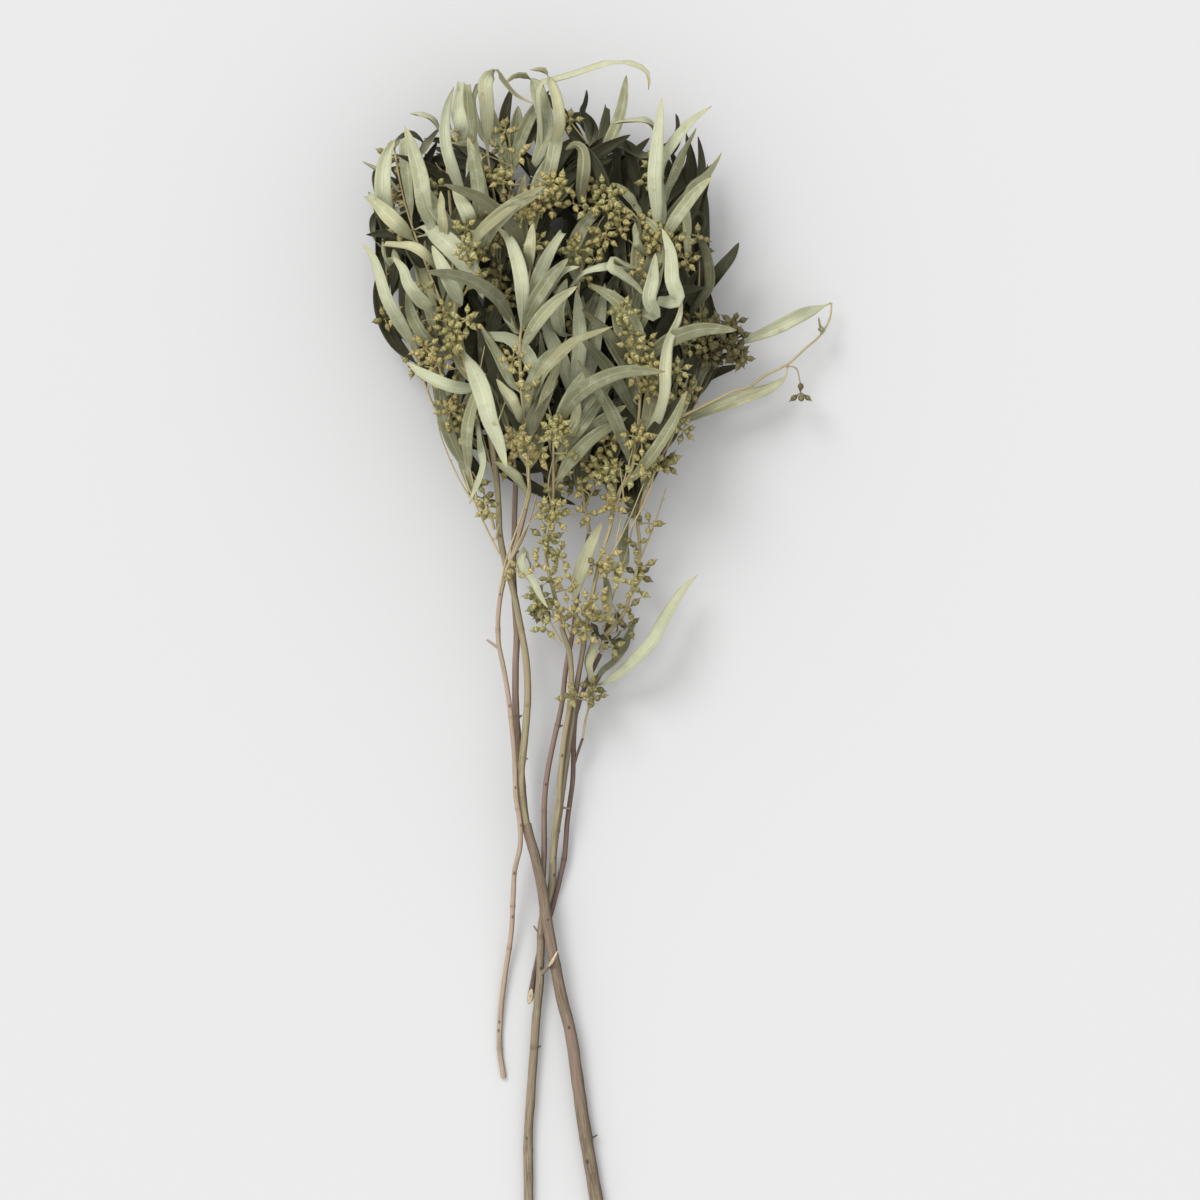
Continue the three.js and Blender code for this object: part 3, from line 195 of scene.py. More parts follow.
# Leaves of each spray: depth, width seen from above, then x, y from root to tip
LEAVES: dict[str, list[list[str | float]]] = {
    "left": [
        ["top", 9, -81.5, 303, -83, 308, -85, 318, -84, 329],
        ["middle", 8, -78, 300, -79, 315, -80, 330],
        ["top", 7.5, -77, 259, -83, 269, -88, 280, -92.5, 295, -93, 308, -91, 320, -87, 330],
        ["middle", 4, -96, 306, -103, 313, -114, 316.5],
        ["top", 9, -72, 240, -80, 256, -88, 270],
        ["middle", 6, -92, 240, -94, 255, -95, 268],
        ["top", 10, -101, 245, -105, 260, -107, 275, -111, 290, -117, 308],
        ["top", 13, -106, 248, -92, 238, -80, 225, -72, 212, -70, 204],
        ["middle", 7, -112, 250, -114, 265, -115, 280, -117, 295],
        ["low", 6, -114, 252, -118, 266, -119, 280, -120, 292],
        ["top", 10, -126, 255, -129, 262, -130, 275, -128, 290, -123, 300],
        ["top", 10, -110, 237, -122, 249, -134, 261],
        ["low", 4, -124, 296, -121, 302, -116, 305, -110, 303, -106, 300],
        ["low", 3.5, -129, 258, -133, 264, -135.5, 273, -135.5, 282, -130, 292],
        ["middle", 3, -121, 270, -125, 274, -133, 281, -143, 288],
        ["low", 5, -108, 293, -101, 303, -97, 309],
        ["top", 8, -100, 198, -106, 203, -113, 212, -116, 220, -123, 228],
        ["top", 6.5, -97, 222, -103, 228, -112, 234, -124, 236],
        ["middle", 7, -91, 200, -94, 206, -98, 215, -102, 225, -107, 233],
        ["top", 9, -83, 199, -90, 215, -100, 235],
        ["low", 5, -83, 167, -90, 170, -96, 178, -98, 190, -97, 202],
        ["top", 11, -83, 177, -79, 168, -74, 158, -69, 145, -65, 130, -60, 118, -57, 108, -55, 102],
        ["top", 8, -70, 152, -85, 150, -98, 154, -108, 160, -115, 166],
        ["low", 5, -72, 194, -75, 199, -78, 205, -76, 213, -72, 220],
    ],
    "side": [
        ["top", 8, -109, 171, -115, 182, -117, 186, -122, 195, -127, 205, -131, 218, -136, 230, -143, 238],
        ["middle", 10, -124, 225, -128, 236, -129, 250],
        ["low", 5, -127, 190, -131, 198, -136, 200],
        ["top", 4.5, -75, 138, -72, 122, -68.5, 108, -72, 95, -78.5, 82],
        ["middle", 4, -130, 236, -134, 241, -138.5, 248, -139, 256, -134, 264],
        ["rest", 9, -116, 180, -112, 196, -106, 214, -102, 232],
    ],
    "back": [
        ["top", 9, -68.5, 290, -67.5, 303, -67.5, 320, -68, 332, -62, 340, -56, 333, -50, 326, -40, 320],
        ["middle", 4, -69, 299, -71.5, 305, -73.5, 313, -75, 320, -76, 327, -75, 332],
        ["top", 13, -61.5, 225, -64.5, 236, -69, 250, -74, 270, -76, 288, -75, 303],
        ["low", 12, -62, 276, -56, 285, -52, 294, -46, 303, -38, 314],
        ["rest", 9, -64, 272, -72, 288, -84, 300, -95, 306],
    ],
    "crown": [
        ["top", 4, -34.8, 332.4, -27.9, 334.4, -16.8, 337.4, -1.8, 342.6, 7.2, 345.6, 14.4, 346.2, 21, 344,
         25.8, 342.2, 28.8, 338.4, 29.1, 330],
        ["middle", 10, -38, 276, -41, 281, -38, 289, -34, 300, -33, 312, -36, 325, -41, 337, -50, 339,
         -58, 334],
        ["top", 6.5, -35, 285, -29, 296, -25, 308, -25.5, 318, -29, 330, -33, 340, -42, 341],
        ["middle", 5, -40, 185, -37, 195, -31, 208, -22, 220, -12, 223],
        ["top", 9, -47.5, 183, -46, 200, -47, 215, -50, 228, -55, 240, -62, 247],
        ["top", 8.5, -47.5, 183, -43, 200, -37, 217, -30, 232, -25, 240],
        ["middle", 6.5, -42, 220, -40.5, 235, -40, 248],
        ["middle", 4.5, -40, 257, -45, 264, -50, 267],
        ["middle", 9, -30, 262, -20, 275, -14, 285],
        ["middle", 7, -48, 147, -53, 154, -60, 167, -66, 178, -72, 188],
        ["top", 6.5, -46, 127, -50, 137, -56, 147, -62, 156],
        ["middle", 5, -50, 184, -56, 195, -62, 203],
        ["middle", 7, -43, 88, -55, 101, -64, 107],
    ],
    "star": [
        ["top", 9.5, -29, 132, -31, 140, -35, 148, -38, 158, -42, 168, -48, 176, -55, 181, -62, 182],
        ["middle", 8, -27, 98, -28, 85, -30, 76],
        ["low", 5, -26, 128, -24, 138, -24, 148, -28, 160],
        ["middle", 6, -24, 120, -19, 123, -16, 135, -15, 150],
        ["middle", 6, -46, 54, -46, 45, -40, 37, -31, 19],
    ],
    "centre": [
        ["top", 9, -18.5, 147, -14, 162, -12, 178, -13, 195, -14, 211],
        ["top", 9, -18.5, 148, -20, 158, -23, 168, -28, 178, -32, 188, -33.5, 199],
        ["middle", 6, -30, 164, -34, 170, -38, 183],
        ["middle", 8, -11, 150, -4, 169, -2, 182, 1, 198, 3, 215],
        ["low", 9, -8, 151, 2, 162, 7, 178, 8, 195, 5, 210],
        ["middle", 9, -22, 184, -26, 195, -24, 205, -20, 217],
        ["top", 5.5, -12, 261, -11.5, 272, -10, 285, -11, 294, -15, 297, -21, 294],
        ["low", 9, -4, 304, -10, 315, -20, 318],
        ["low", 5, -8, 310, -12, 320, -10, 325, -8, 333],
        ["low", 6, -2, 285, 0, 300, 3, 317],
        ["low", 9, -18, 232, -28, 243, -36, 253],
        ["middle", 4.5, -14, 128, -5, 131, 3, 128, 9, 122],
        ["middle", 5, -12, 108, -3, 109, 4, 113, 9, 120],
        ["low", 6, -10, 144, -3, 148, 5, 154],
        ["low", 4, 3, 149, 10, 151, 16, 149],
    ],
    "column": [
        ["low", 7, 27, 292, 14, 299, 5, 302],
        ["middle", 7, 5, 293, 12, 300, 20, 309],
        ["top", 3.5, 31, 308, 27, 310, 15, 310.5, 7, 310],
        ["top", 8.5, 35, 243, 34, 258, 32.5, 275, 34, 295, 37, 325],
        ["top", 7, 37, 248, 38, 255, 37, 264, 36, 273, 38, 285, 45, 297, 55, 310, 67, 321],
        ["middle", 5.5, 38, 262, 40, 270, 44, 282, 50, 295, 58, 308],
        ["low", 4, 42, 294, 44, 300, 46, 308, 46, 318],
        ["middle", 6, 53, 231, 51, 245, 49.5, 262, 54, 273, 63, 280, 73, 292],
        ["middle", 6, 24, 256, 20, 262, 15, 269, 9, 275],
        ["middle", 8, 20, 253, 30, 249, 38, 238],
        ["top", 9, 46, 203, 43, 215, 42, 232, 37, 246],
        ["top", 7, 20, 100, 23, 113, 30, 125, 35, 138, 38, 150, 38, 162, 40, 178, 47, 193, 49, 205],
        ["top", 8.5, 33, 194, 29, 203, 31, 215, 33, 231],
        ["middle", 6, 30, 229, 23, 238, 21, 250],
        ["top", 5, 7, 224, 13, 219, 22, 212, 26, 206],
        ["low", 8, 12, 201, 9, 210, 12, 221],
        ["low", 7, 17, 224, 14, 230, 13, 240, 18, 250],
        ["top", 4, 10, 222, 2, 221, -8, 219, -15, 213, -20, 206],
        ["top", 7, 12.5, 88, 15, 98, 16, 108, 15, 118, 13, 125],
        ["top", 8.5, -16, 21, -13.5, 35, -8, 52, 1, 71],
        ["low", 7, 12, 45, 13, 60, 17, 74],
        ["low", 5, 5, 15, 6, 28, 3, 42],
        ["top", 8.5, 140, 205, 134, 202, 122, 197, 108, 190, 95, 184.5, 82, 179],
        ["middle", 8, 114, 166, 113, 160, 110, 157, 102, 152, 90, 147.5, 75, 142, 60, 136.5, 45, 129],
        ["middle", 4, 138, 190, 134, 187, 133, 196],
    ],
    "right": [
        ["middle", 8, 55, 205, 65, 213, 74, 224, 80, 232, 84, 240],
        ["middle", 6, 54, 195, 58, 202, 66, 213, 66, 225, 62, 238, 57, 249],
        ["middle", 6, 57, 245, 62, 250, 60, 257, 53, 258],
        ["middle", 4, 56, 224, 58, 215, 61, 211],
        ["rest", 9, 56, 158, 50, 176, 46, 194, 42, 212],
    ],
    "low": [
        ["top", 7.5, -5, -30, 5, -25, 15, -18, 25, -9, 33, 0, 38, 10, 45, 22, 52, 32, 59, 39],
        ["low", 3.5, -5, -21, 0, -15, 7, -9, 12, -3, 15, 4],
        ["low", 3.5, 0, -22, 10, -14, 16, -5, 19, 5, 22, 10],
        ["middle", 3.5, -8, -40, -7, -32, -6, -24],
        ["low", 5, -5, -28, -6, -14, -4, -3, -3, 4],
    ],
}

# Seed heads of each spray: x, y and radius
SEED_HEADS: dict[str, list[Row]] = {
    "left": [
        [-80, 246, 7], [-88, 305, 4], [-97, 272, 4], [-79, 232, 6], [-104, 210, 5], [-92, 196, 6],
        [-79, 190, 8], [-91, 186, 6], [-88, 177, 7], [-97, 165, 7], [-105, 175, 9],
    ],
    "side": [[-110, 190, 8], [-130, 194, 5], [-113, 166, 5], [-90, 138, 9], [-78, 138, 4]],
    "back": [[-57, 306, 6], [-55, 260, 6], [-65, 237, 4], [-63, 220, 7], [-60, 205, 9]],
    "crown": [
        [-46, 253, 7], [-30, 273, 7], [-52, 168, 6], [-47, 158, 5], [-44, 150, 5], [-50, 122, 6],
        [-47, 115, 7], [-37, 110, 7],
    ],
    "star": [
        [-27, 124, 9], [-30, 107, 8], [-20, 112, 5], [-28, 74, 9], [-32, 60, 9], [-25, 50, 7], [-38, 45, 4],
        [-30, 37, 4], [-21, 38, 3], [-21, 30, 4],
    ],
    "centre": [
        [-18, 312, 6], [2, 270, 7], [-16, 262, 4], [-8, 258, 4], [-15, 234, 8], [3, 242, 7], [-3, 228, 6],
        [8, 120, 4], [0, 104, 5], [4, 97, 6],
    ],
    "column": [
        [24, 221, 4], [14, 196, 8], [20, 175, 8], [22, 160, 9], [30, 165, 7], [28, 150, 8], [8, 82, 9],
        [25, 120, 8], [28, 105, 9], [20, 98, 4], [8, 42, 7], [5, 50, 5], [12, 36, 4], [0, 25, 5],
        [-8, 22, 6], [-16, 15, 3], [2, 14, 4], [52, 227, 6], [122, 150, 4],
    ],
    "right": [
        [17, 19, 5], [17, 8, 3], [22, 30, 5], [26, 44, 5], [30, 70, 5], [22, 58, 4], [40, 108, 4],
        [64, 192, 7], [72, 189, 6], [81, 191, 6], [76, 177, 7], [85, 169, 5], [50, 126, 6], [46, 142, 6],
        [54, 150, 6], [47, 162, 6], [54, 178, 6],
    ],
    "low": [[-14, -33, 5], [-18, -35, 3], [-3, -34, 3]],
}

# Outline of the head seen from above, which the deep leaves stay inside
OUTLINE = [
    [-143, 288], [-140, 255], [-143, 238], [-136, 200], [-122, 176], [-116, 165], [-106, 152], [-93, 122],
    [-84, 97], [-62, 52], [-46, 30], [-32, 5], [-14, -30], [-2, -30], [22, 17], [26, 45], [34, 70],
    [33, 95], [43, 108], [44, 125], [60, 147], [88, 168], [84, 190], [66, 200], [64, 225], [62, 252],
    [70, 285], [64, 316], [46, 316], [37, 325], [30, 335], [12, 341], [-35, 338], [-64, 338], [-88, 328],
    [-114, 314],
]

# Thin bare stalks that show at the foot of the head: x, y from foot to tip
STALKS: dict[str, list[Row]] = {
    "side": [
        [-66.6, 73.2, -81, 90, -95.4, 121, -99.6, 140.4],
        [-60.6, 51.6, -75.6, 82.8, -87, 115, -96.6, 142.2],
        [-63, 60, -60, 76.8, -66, 105.6, -74.4, 136.2],
        [-74, 84, -79, 106, -83, 128],
    ],
    "left": [
        [-64, 118, -70, 136, -72, 158, -69, 176],
        [-62, 128, -56, 146, -54, 165],
    ],
    "crown": [
        [-60.6, 28.8, -56.4, 48, -43.8, 86.4, -42.6, 105.6, -44.4, 132.6],
        [-56.4, 42, -44.4, 67.2, -31.2, 86.4],
    ],
    "star": [
        [-18, 1.8, -25.2, 21, -33, 51.6, -34, 66],
        [-23.4, -1.8, -34.8, 19.2, -42.6, 32.4],
        [-26, 70, -31, 92, -28, 110],
    ],
    "column": [
        [-10.2, -1.8, -2.4, 36.6, 7.2, 70.8, 15, 97.8, 24.6, 132.6],
        [7.2, 51.6, 16.8, 70.8, 26.4, 94.2],
        [18.6, 67.2, 30, 90, 34.2, 111.6],
        [10, 60, 14, 84, 12, 104],
    ],
    "right": [
        [2, 6, 9, 30, 17, 56, 22, 80],
        [24, 48, 33, 70, 40, 92],
        [6, 14, 16, 22, 24, 36],
    ],
}

# Dark eyes of lost twigs on the bare stems: x, y and half their length
EYES: dict[str, list[Row]] = {
    "stem_right": [
        [-44.5, -114, 1.7], [-60, 63, 1.2], [-9, -318.6, 1.9], [-31, -170, 1.2], [-19, -236, 1.4],
    ],
    "stem_centre": [
        [-27, -143, 1.6], [-36, -200, 1.3], [-23, -70, 1.2], [-21.8, -133, 1.0], [-45.6, -304.5, 1.1],
        [-13, -30, 1.1], [-33, -88, 1.0],
    ],
    "stem_left": [
        [-52.2, -141.6, 1.4], [-53, -168.6, 1.2], [-61.8, -233.4, 1.2], [-62.4, -238.8, 1.3],
        [-47.5, -112, 1.0], [-51.2, -90, 1.1], [-54.8, -40, 1.1], [-60.5, 28, 1.0], [-57.5, 38, 0.9],
    ],
}

# How far above its twig a leaf lies halfway along, and how far its tip is from that height, in mm
LEAF_RISE = {Rise.TOP: 17.0, Rise.MIDDLE: 4.0, Rise.LOW: -9.0}
TIP_DROP = {Rise.TOP: -7.0, Rise.MIDDLE: -3.0, Rise.LOW: -5.0}
# Painted shade of a leaf at each depth, from 0 to 1: the deeper it lies, the darker it is
DEPTH_SHADES = {Rise.TOP: 0.02, Rise.MIDDLE: 0.24, Rise.LOW: 0.55, Rise.REST: 0.5, Rise.BED: 0.85}
# Lifts to try for a leaf and for a seed head, in mm
LEAF_LIFTS = [0, 3, -3, 6, -6, 9, -9, 12, -12, 15, -15, 18, 21, 24, 27]
HEAD_LIFTS = [0, 3, 6, -3, 9, 12, -6, 15, 18]
# Place along the bunch above which the head is dense, in mm
THICKET = 70.0
# Leaves deep in each spray, as in the part's source
DEEP_LEAVES = {"left": 7, "side": 6, "back": 10, "crown": 6, "star": 4, "centre": 9, "column": 11,
               "right": 11}


class Draws:
    """A repeatable draw of numbers from 0 to 1, the same one as in the part's source."""

    def __init__(self, seed: int) -> None:
        """Start the draw.

        Args:
            seed: whole number that fixes all the draws.
        """
        self.state = seed

    def __call__(self) -> float:
        """Draw the next number.

        Returns:
            A number from 0 to 1.
        """
        whole = 0xFFFFFFFF
        self.state = (self.state + 0x6D2B79F5) & whole
        mixed = ((self.state ^ (self.state >> 15)) * (1 | self.state)) & whole
        mixed = ((mixed + (((mixed ^ (mixed >> 7)) * (61 | mixed)) & whole)) & whole) ^ mixed
        return (mixed ^ (mixed >> 14)) / 4294967296

    def between(self, low: float, high: float) -> float:
        """Next number from low to high."""
        return low + (high - low) * self()

    def side(self) -> float:
        """Either -1 or 1."""
        return -1.0 if self() < 0.5 else 1.0


def smooth(share: Array | float) -> Array | float:
    """Ease from 0 to 1.

    Args:
        share: place along the change, held to 0..1.

    Returns:
        The eased share.
    """
    held = np.clip(share, 0.0, 1.0)
    return held * held * (3 - 2 * held)


def unit(vectors: Array) -> Array:
    """Vectors at length 1, along the last axis."""
    return vectors / np.maximum(np.linalg.norm(vectors, axis=-1, keepdims=True), 1e-9)


def turned(vectors: Array, axes: Array, angles: Array) -> Array:
    """Vectors turned about unit axes.

    Args:
        vectors: the vectors, one a row.
        axes: unit axes, one a row.
        angles: angles in radians, one a row.

    Returns:
        The turned vectors.
    """
    cos, sin = np.cos(angles)[:, None], np.sin(angles)[:, None]
    along = (vectors * axes).sum(axis=1, keepdims=True) * axes
    return vectors * cos + np.cross(axes, vectors) * sin + along * (1 - cos)


def distances(line: Array) -> Array:
    """Distance along a line of points at each of them."""
    return np.concatenate([[0.0], np.cumsum(np.linalg.norm(np.diff(line, axis=0), axis=1))])


class Curve:
    """Centripetal Catmull-Rom curve through points, measured along its length."""

    STEPS = 200

    def __init__(self, points: Array) -> None:
        """Prepare the curve.

        Args:
            points: points that it passes, one a row.
        """
        self.points = np.asarray(points, float)
        shares = np.linspace(0, 1, self.STEPS + 1)
        self.run = distances(self.raw(shares))
        self.length = float(self.run[-1])

    def raw(self, shares: Array) -> Array:
        """Points at shares of the curve's own parameter.

        Args:
            shares: parameter values, 0..1.

        Returns:
            The points, one a row.
        """
        pts = self.points
        padded = np.vstack([2 * pts[0] - pts[1], pts, 2 * pts[-1] - pts[-2]])
        place = np.asarray(shares) * (len(pts) - 1)
        index = np.minimum(place.astype(int), len(pts) - 2)
        weight = (place - index)[:, None]
        p0, p1, p2, p3 = (padded[index + k] for k in range(4))

        def gap(one: Array, other: Array) -> Array:
            """Fourth root of the squared distance."""
            return (((one - other) ** 2).sum(axis=1) ** 0.25)[:, None]

        d0, d1, d2 = gap(p0, p1), gap(p1, p2), gap(p2, p3)
        d1 = np.where(d1 < 1e-4, 1.0, d1)
        d0, d2 = np.where(d0 < 1e-4, d1, d0), np.where(d2 < 1e-4, d1, d2)
        t1 = ((p1 - p0) / d0 - (p2 - p0) / (d0 + d1) + (p2 - p1) / d1) * d1
        t2 = ((p2 - p1) / d1 - (p3 - p1) / (d1 + d2) + (p3 - p2) / d2) * d1
        c2 = -3 * p1 + 3 * p2 - 2 * t1 - t2
        c3 = 2 * p1 - 2 * p2 + t1 + t2
        return p1 + weight * (t1 + weight * (c2 + weight * c3))

    def at(self, shares: Array) -> Array:
        """Points at shares of the curve's length.

        Args:
            shares: shares of the length, 0..1.

        Returns:
            The points, one a row.
        """
        wanted = np.asarray(shares, float) * self.length
        return self.raw(np.interp(wanted, self.run, np.linspace(0, 1, self.STEPS + 1)))


@dataclass
class Twig:
    """Round stick: a middle line and its thickness at each point, in mm."""

    line: Array
    thickness: Array

    @classmethod
    def from_row(cls, row: Row) -> "Twig":
        """Read a twig from its row: first and last thickness, then x, y, z.

        Args:
            row: the numbers.

        Returns:
            The twig.
        """
        line = np.array(row[2:], float).reshape(-1, 3)
        run = distances(line)
        return cls(line, row[0] + (row[1] - row[0]) * run / run[-1])

    @classmethod
    def bare(cls, twigs: list["Twig"], draw: Draws) -> "Twig":
        """A thin bent stalk that has lost its seeds.

        Args:
            twigs: twigs of its spray.
            draw: the draw of its place and shape.

        Returns:
            The stalk.
        """
        parent = twigs[int(draw() * len(twigs))].line
        at = int(draw() * (len(parent) - 1))
        foot = parent[at] + (parent[at + 1] - parent[at]) * draw()
        along = unit(parent[at + 1] - parent[at])
        heading = math.atan2(along[1], along[0]) + draw.side() * draw.between(0.4, 1.2)
        length, bend = draw.between(8, 22), draw.between(-0.5, 0.5)
        rise = draw.between(1.0, 7.0)
        line = [foot]
        for share in (0.35, 0.7, 1.0):
            angle = heading + bend * share
            reach = length * share
            line.append(foot + np.array([math.cos(angle) * reach, math.sin(angle) * reach, rise * share]))
        return cls(np.array(line), np.linspace(1.0, 0.6, 4))

    @classmethod
    def traced(cls, twigs: list["Twig"], row: Row) -> "Twig":
        """A thin stalk from its plan, just above the nearest twigs.

        Args:
            twigs: twigs that it follows.
            row: x, y from foot to tip.

        Returns:
            The stalk.
        """
        route = np.array(row, float).reshape(-1, 2)
        heights = [float(anchor_on(twigs, x, y)[2]) + 3.0 for x, y in route]
        line = np.column_stack([route, heights])
        return cls(line, np.linspace(1.5, 0.8, len(line)))

    def spots(self) -> Array:
        """What it fills.

        Returns:
            Rows of x, y, z, reach, half height and whether it is apart.
        """
        rows = []
        for at in range(len(self.line) - 1):
            steps = math.ceil(np.linalg.norm(self.line[at + 1] - self.line[at]) / 3)
            for step in range(steps):
                point = self.line[at] + (self.line[at + 1] - self.line[at]) * step / steps
                half = self.thickness[at] / 2
                rows.append([*point, half, half, 1.0])
        return np.array(rows)


def anchor_on(twigs: list[Twig], x: float, y: float) -> Array:
    """Nearest point to a plan point on a spray's twigs.

    Args:
        twigs: the twigs.
        x: across, in mm.
        y: along, in mm.

    Returns:
        The point on a twig's middle line.
    """
    best, found = math.inf, twigs[0].line[0]
    for twig in twigs:
        start, step = twig.line[:-1], np.diff(twig.line, axis=0)
        flat = np.maximum((step[:, :2] ** 2).sum(axis=1), 1e-6)
        reach = (x - start[:, 0]) * step[:, 0] + (y - start[:, 1]) * step[:, 1]
        points = start + step * np.clip(reach / flat, 0, 1)[:, None]
        away = np.hypot(points[:, 0] - x, points[:, 1] - y)
        at = int(away.argmin())
        if away[at] < best:
            best, found = float(away[at]), points[at]
    return found


@dataclass
class Leaf:
    """One leaf: its plan, the heights it passes, its width and its turn about its middle line."""

    plan: Curve
    width: float
    turn: float
    root: float
    level: float
    tip: float
    rests: bool
    rise: Rise
    lift: float = 0.0
    curled: bool = False
    folded: bool = False
    # Painted shade added to the depth shade, or taken from it where negative
    age: float = 0.0

    REST_HEIGHT = 0.36
    COMMON_WIDTH = 8.6
    MOST_TURN = 1.1
    ROOT_SHARE = 0.24
    BED_START = 96.0

    @classmethod
    def from_row(cls, twigs: list[Twig], row: list[str | float], draw: Draws) -> "Leaf":
        """Read a leaf from its row and hang it on the nearest twig.

        Args:
            twigs: twigs of its spray.
            row: depth, width seen from above, then x, y from root to tip.
            draw: the draw of its turn and heights.

        Returns:
            The leaf.
        """
        rise, shown = Rise(row[0]), float(row[1])
        route = np.array(row[2:], float).reshape(-1, 2)
        anchor = anchor_on(twigs, route[0, 0], route[0, 1])
        start = anchor[:2]
        rest = route[1:] if np.linalg.norm(start - route[0]) < 2 else route
        width = max(shown, min(cls.COMMON_WIDTH, shown / math.cos(cls.MOST_TURN)))
        turn = math.acos(min(1.0, shown / width)) * draw.side()
        rests = rise is Rise.REST
        level = cls.REST_HEIGHT if rests else anchor[2] + LEAF_RISE[rise] + (draw() - 0.5) * 6
        tip = cls.REST_HEIGHT if rests else level + TIP_DROP[rise] + (draw() - 0.5) * 8
        return cls(Curve(np.vstack([start, rest])), width, turn, anchor[2], level, tip, rests, rise)

    @classmethod
    def deep(cls, twigs: list[Twig], draw: Draws, bed: float | None = None, spread: Pair = (0.1, 0.7),
             lengths: Pair = (44, 66), sweep: float = 0.9) -> tuple["Leaf", bool]:
        """A leaf deep in the head, bent away from a point of a twig.

        Args:
            twigs: twigs of its spray.
            draw: the draw of its place and shape.
            bed: height in mm that it sinks to, or none to stay near its twig.
            spread: least and greatest angle from its twig, in radians.
            lengths: least and greatest length in mm.
            sweep: range of its bends, in radians.

        Returns:
            The leaf, and whether it stays inside the head's outline.
        """
        line = twigs[int(draw() ** 2 * len(twigs))].line
        at = 1 + int(draw() * (len(line) - 2))
        along = line[at + 1] - line[at]
        side = draw.side()
        heading = math.atan2(along[1], along[0]) + side * draw.between(*spread)
        length = draw.between(*lengths)
        bend = (draw() - 0.5) * sweep
        width = draw.between(7.5, 10)
        turn = (draw() - 0.5) * 1.2
        level = line[at, 2] + draw.between(-22, 6)
        droop = (draw() - 0.6) * 16
        shares = np.array([0.35, 0.7, 1.0])
        angles = heading + bend * shares
        steps = np.stack([np.cos(angles), np.sin(angles)], axis=1) * (length * shares)[:, None]
        route = line[at, :2] + steps
        middle = max(level, 4.0) if bed is None else bed
        plan = Curve(np.vstack([line[at, :2], route]))
        rise = Rise.LOW if bed is None else Rise.BED
        leaf = cls(plan, width, turn, line[at, 2], middle, max(middle + droop, 2.0), False, rise)
        if bed is not None and min(line[at, 1], route[:, 1].min()) < cls.BED_START:
            return leaf, False
        return leaf, line[at, 1] > THICKET and all(inside(x, y) for x, y in route)

    def lifts(self) -> list[int]:
        """Lifts to try in mm, in order."""
        return [0] if self.rests else LEAF_LIFTS

    def heights(self, lift: float, shares: Array) -> Array:
        """Heights of the middle line.

        Args:
            lift: how far the whole blade is raised, in mm.
            shares: shares of its length.

        Returns:
            The heights in mm.
        """
        middle = max(self.REST_HEIGHT, self.level + lift)
        tip = max(self.REST_HEIGHT, self.tip + lift)
        rising = self.root + (middle - self.root) * smooth(shares * 2)
        return np.where(shares < 0.5, rising, middle + (tip - middle) * smooth(shares * 2 - 1))

    def points(self, lift: float, shares: Array) -> Array:
        """Points of the middle line, one a row, for a lift and shares of its length."""
        return np.column_stack([self.plan.at(shares), self.heights(lift, shares)])

    def spots(self, lift: float) -> Array:
        """What it fills at a lift.

        Args:
            lift: how far it is raised, in mm.

        Returns:
            Rows of x, y, z, reach, half height and whether it is apart.
        """
        steps = math.ceil(self.plan.length / 3)
        shares = np.arange(steps + 1) / steps
        wide = np.sin(np.pi * np.minimum(1, shares * 0.9 + 0.06)) ** 0.7
        reach = self.width * math.cos(self.turn) * wide / 2 + 0.3
        half = self.width * abs(math.sin(self.turn)) * wide / 2 + 0.6
        apart = (shares > self.ROOT_SHARE).astype(float)
        return np.column_stack([self.points(lift, shares), reach, half, apart])


@dataclass
class SeedHead:
    """One seed head: its middle, its radius, and the point of the twig that its stalk springs from."""

    x: float
    y: float
    radius: float
    anchor: Array
    level: float
    spin: float
    lift: float = 0.0

    RISE = 9.0
    LEAST = 4.4
    STALK = 0.7

    @classmethod
    def from_row(cls, twigs: list[Twig], row: Row, draw: Draws) -> "SeedHead":
        """Read a seed head from its row and hang it on the nearest twig.

        Args:
            twigs: twigs of its spray.
            row: x, y and radius.
            draw: the draw of its height and spin.

        Returns:
            The seed head.
        """
        anchor = anchor_on(twigs, row[0], row[1])
        level = anchor[2] + cls.RISE + (draw() - 0.5) * 4
        return cls(row[0], row[1], max(row[2], cls.LEAST), anchor, level, draw() * math.pi * 2)

    @classmethod
    def beside(cls, twigs: list[Twig], draw: Draws) -> "SeedHead":
        """A small seed head beside a point of a twig.

        Args:
            twigs: twigs of its spray.
            draw: the draw of its place and size.

        Returns:
            The seed head.
        """
        line = twigs[int(draw() * len(twigs))].line
        at = int(draw() * (len(line) - 1))
        anchor = line[at] + (line[at + 1] - line[at]) * draw()
        angle, away = draw() * 2 * math.pi, draw.between(3.0, 9.0)
        x, y = anchor[0] + math.cos(angle) * away, anchor[1] + math.sin(angle) * away
        radius = draw.between(4.6, 6.6)
        level = anchor[2] + draw.between(-4, 7)
        return cls(x, y, radius, anchor, level, draw() * math.pi * 2)

    def lifts(self) -> list[int]:
        """Lifts to try in mm, in order."""
        return HEAD_LIFTS

    def centre(self, lift: float) -> Array:
        """Its middle at a lift."""
        return np.array([self.x, self.y, self.level + lift])

    def spots(self, lift: float) -> Array:
        """What it fills at a lift.

        Args:
            lift: how far it is raised, in mm.

        Returns:
            Rows of x, y, z, reach, half height and whether it is apart.
        """
        centre = self.centre(lift)
        size = self.radius + 1.2
        rows = [[*centre, size, size, 1.0]]
        steps = math.ceil(np.linalg.norm(centre - self.anchor) / 3)
        for step in range(steps):
            point = self.anchor + (centre - self.anchor) * step / steps
            rows.append([*point, self.STALK / 2, self.STALK / 2, 0.0])
        return np.array(rows)


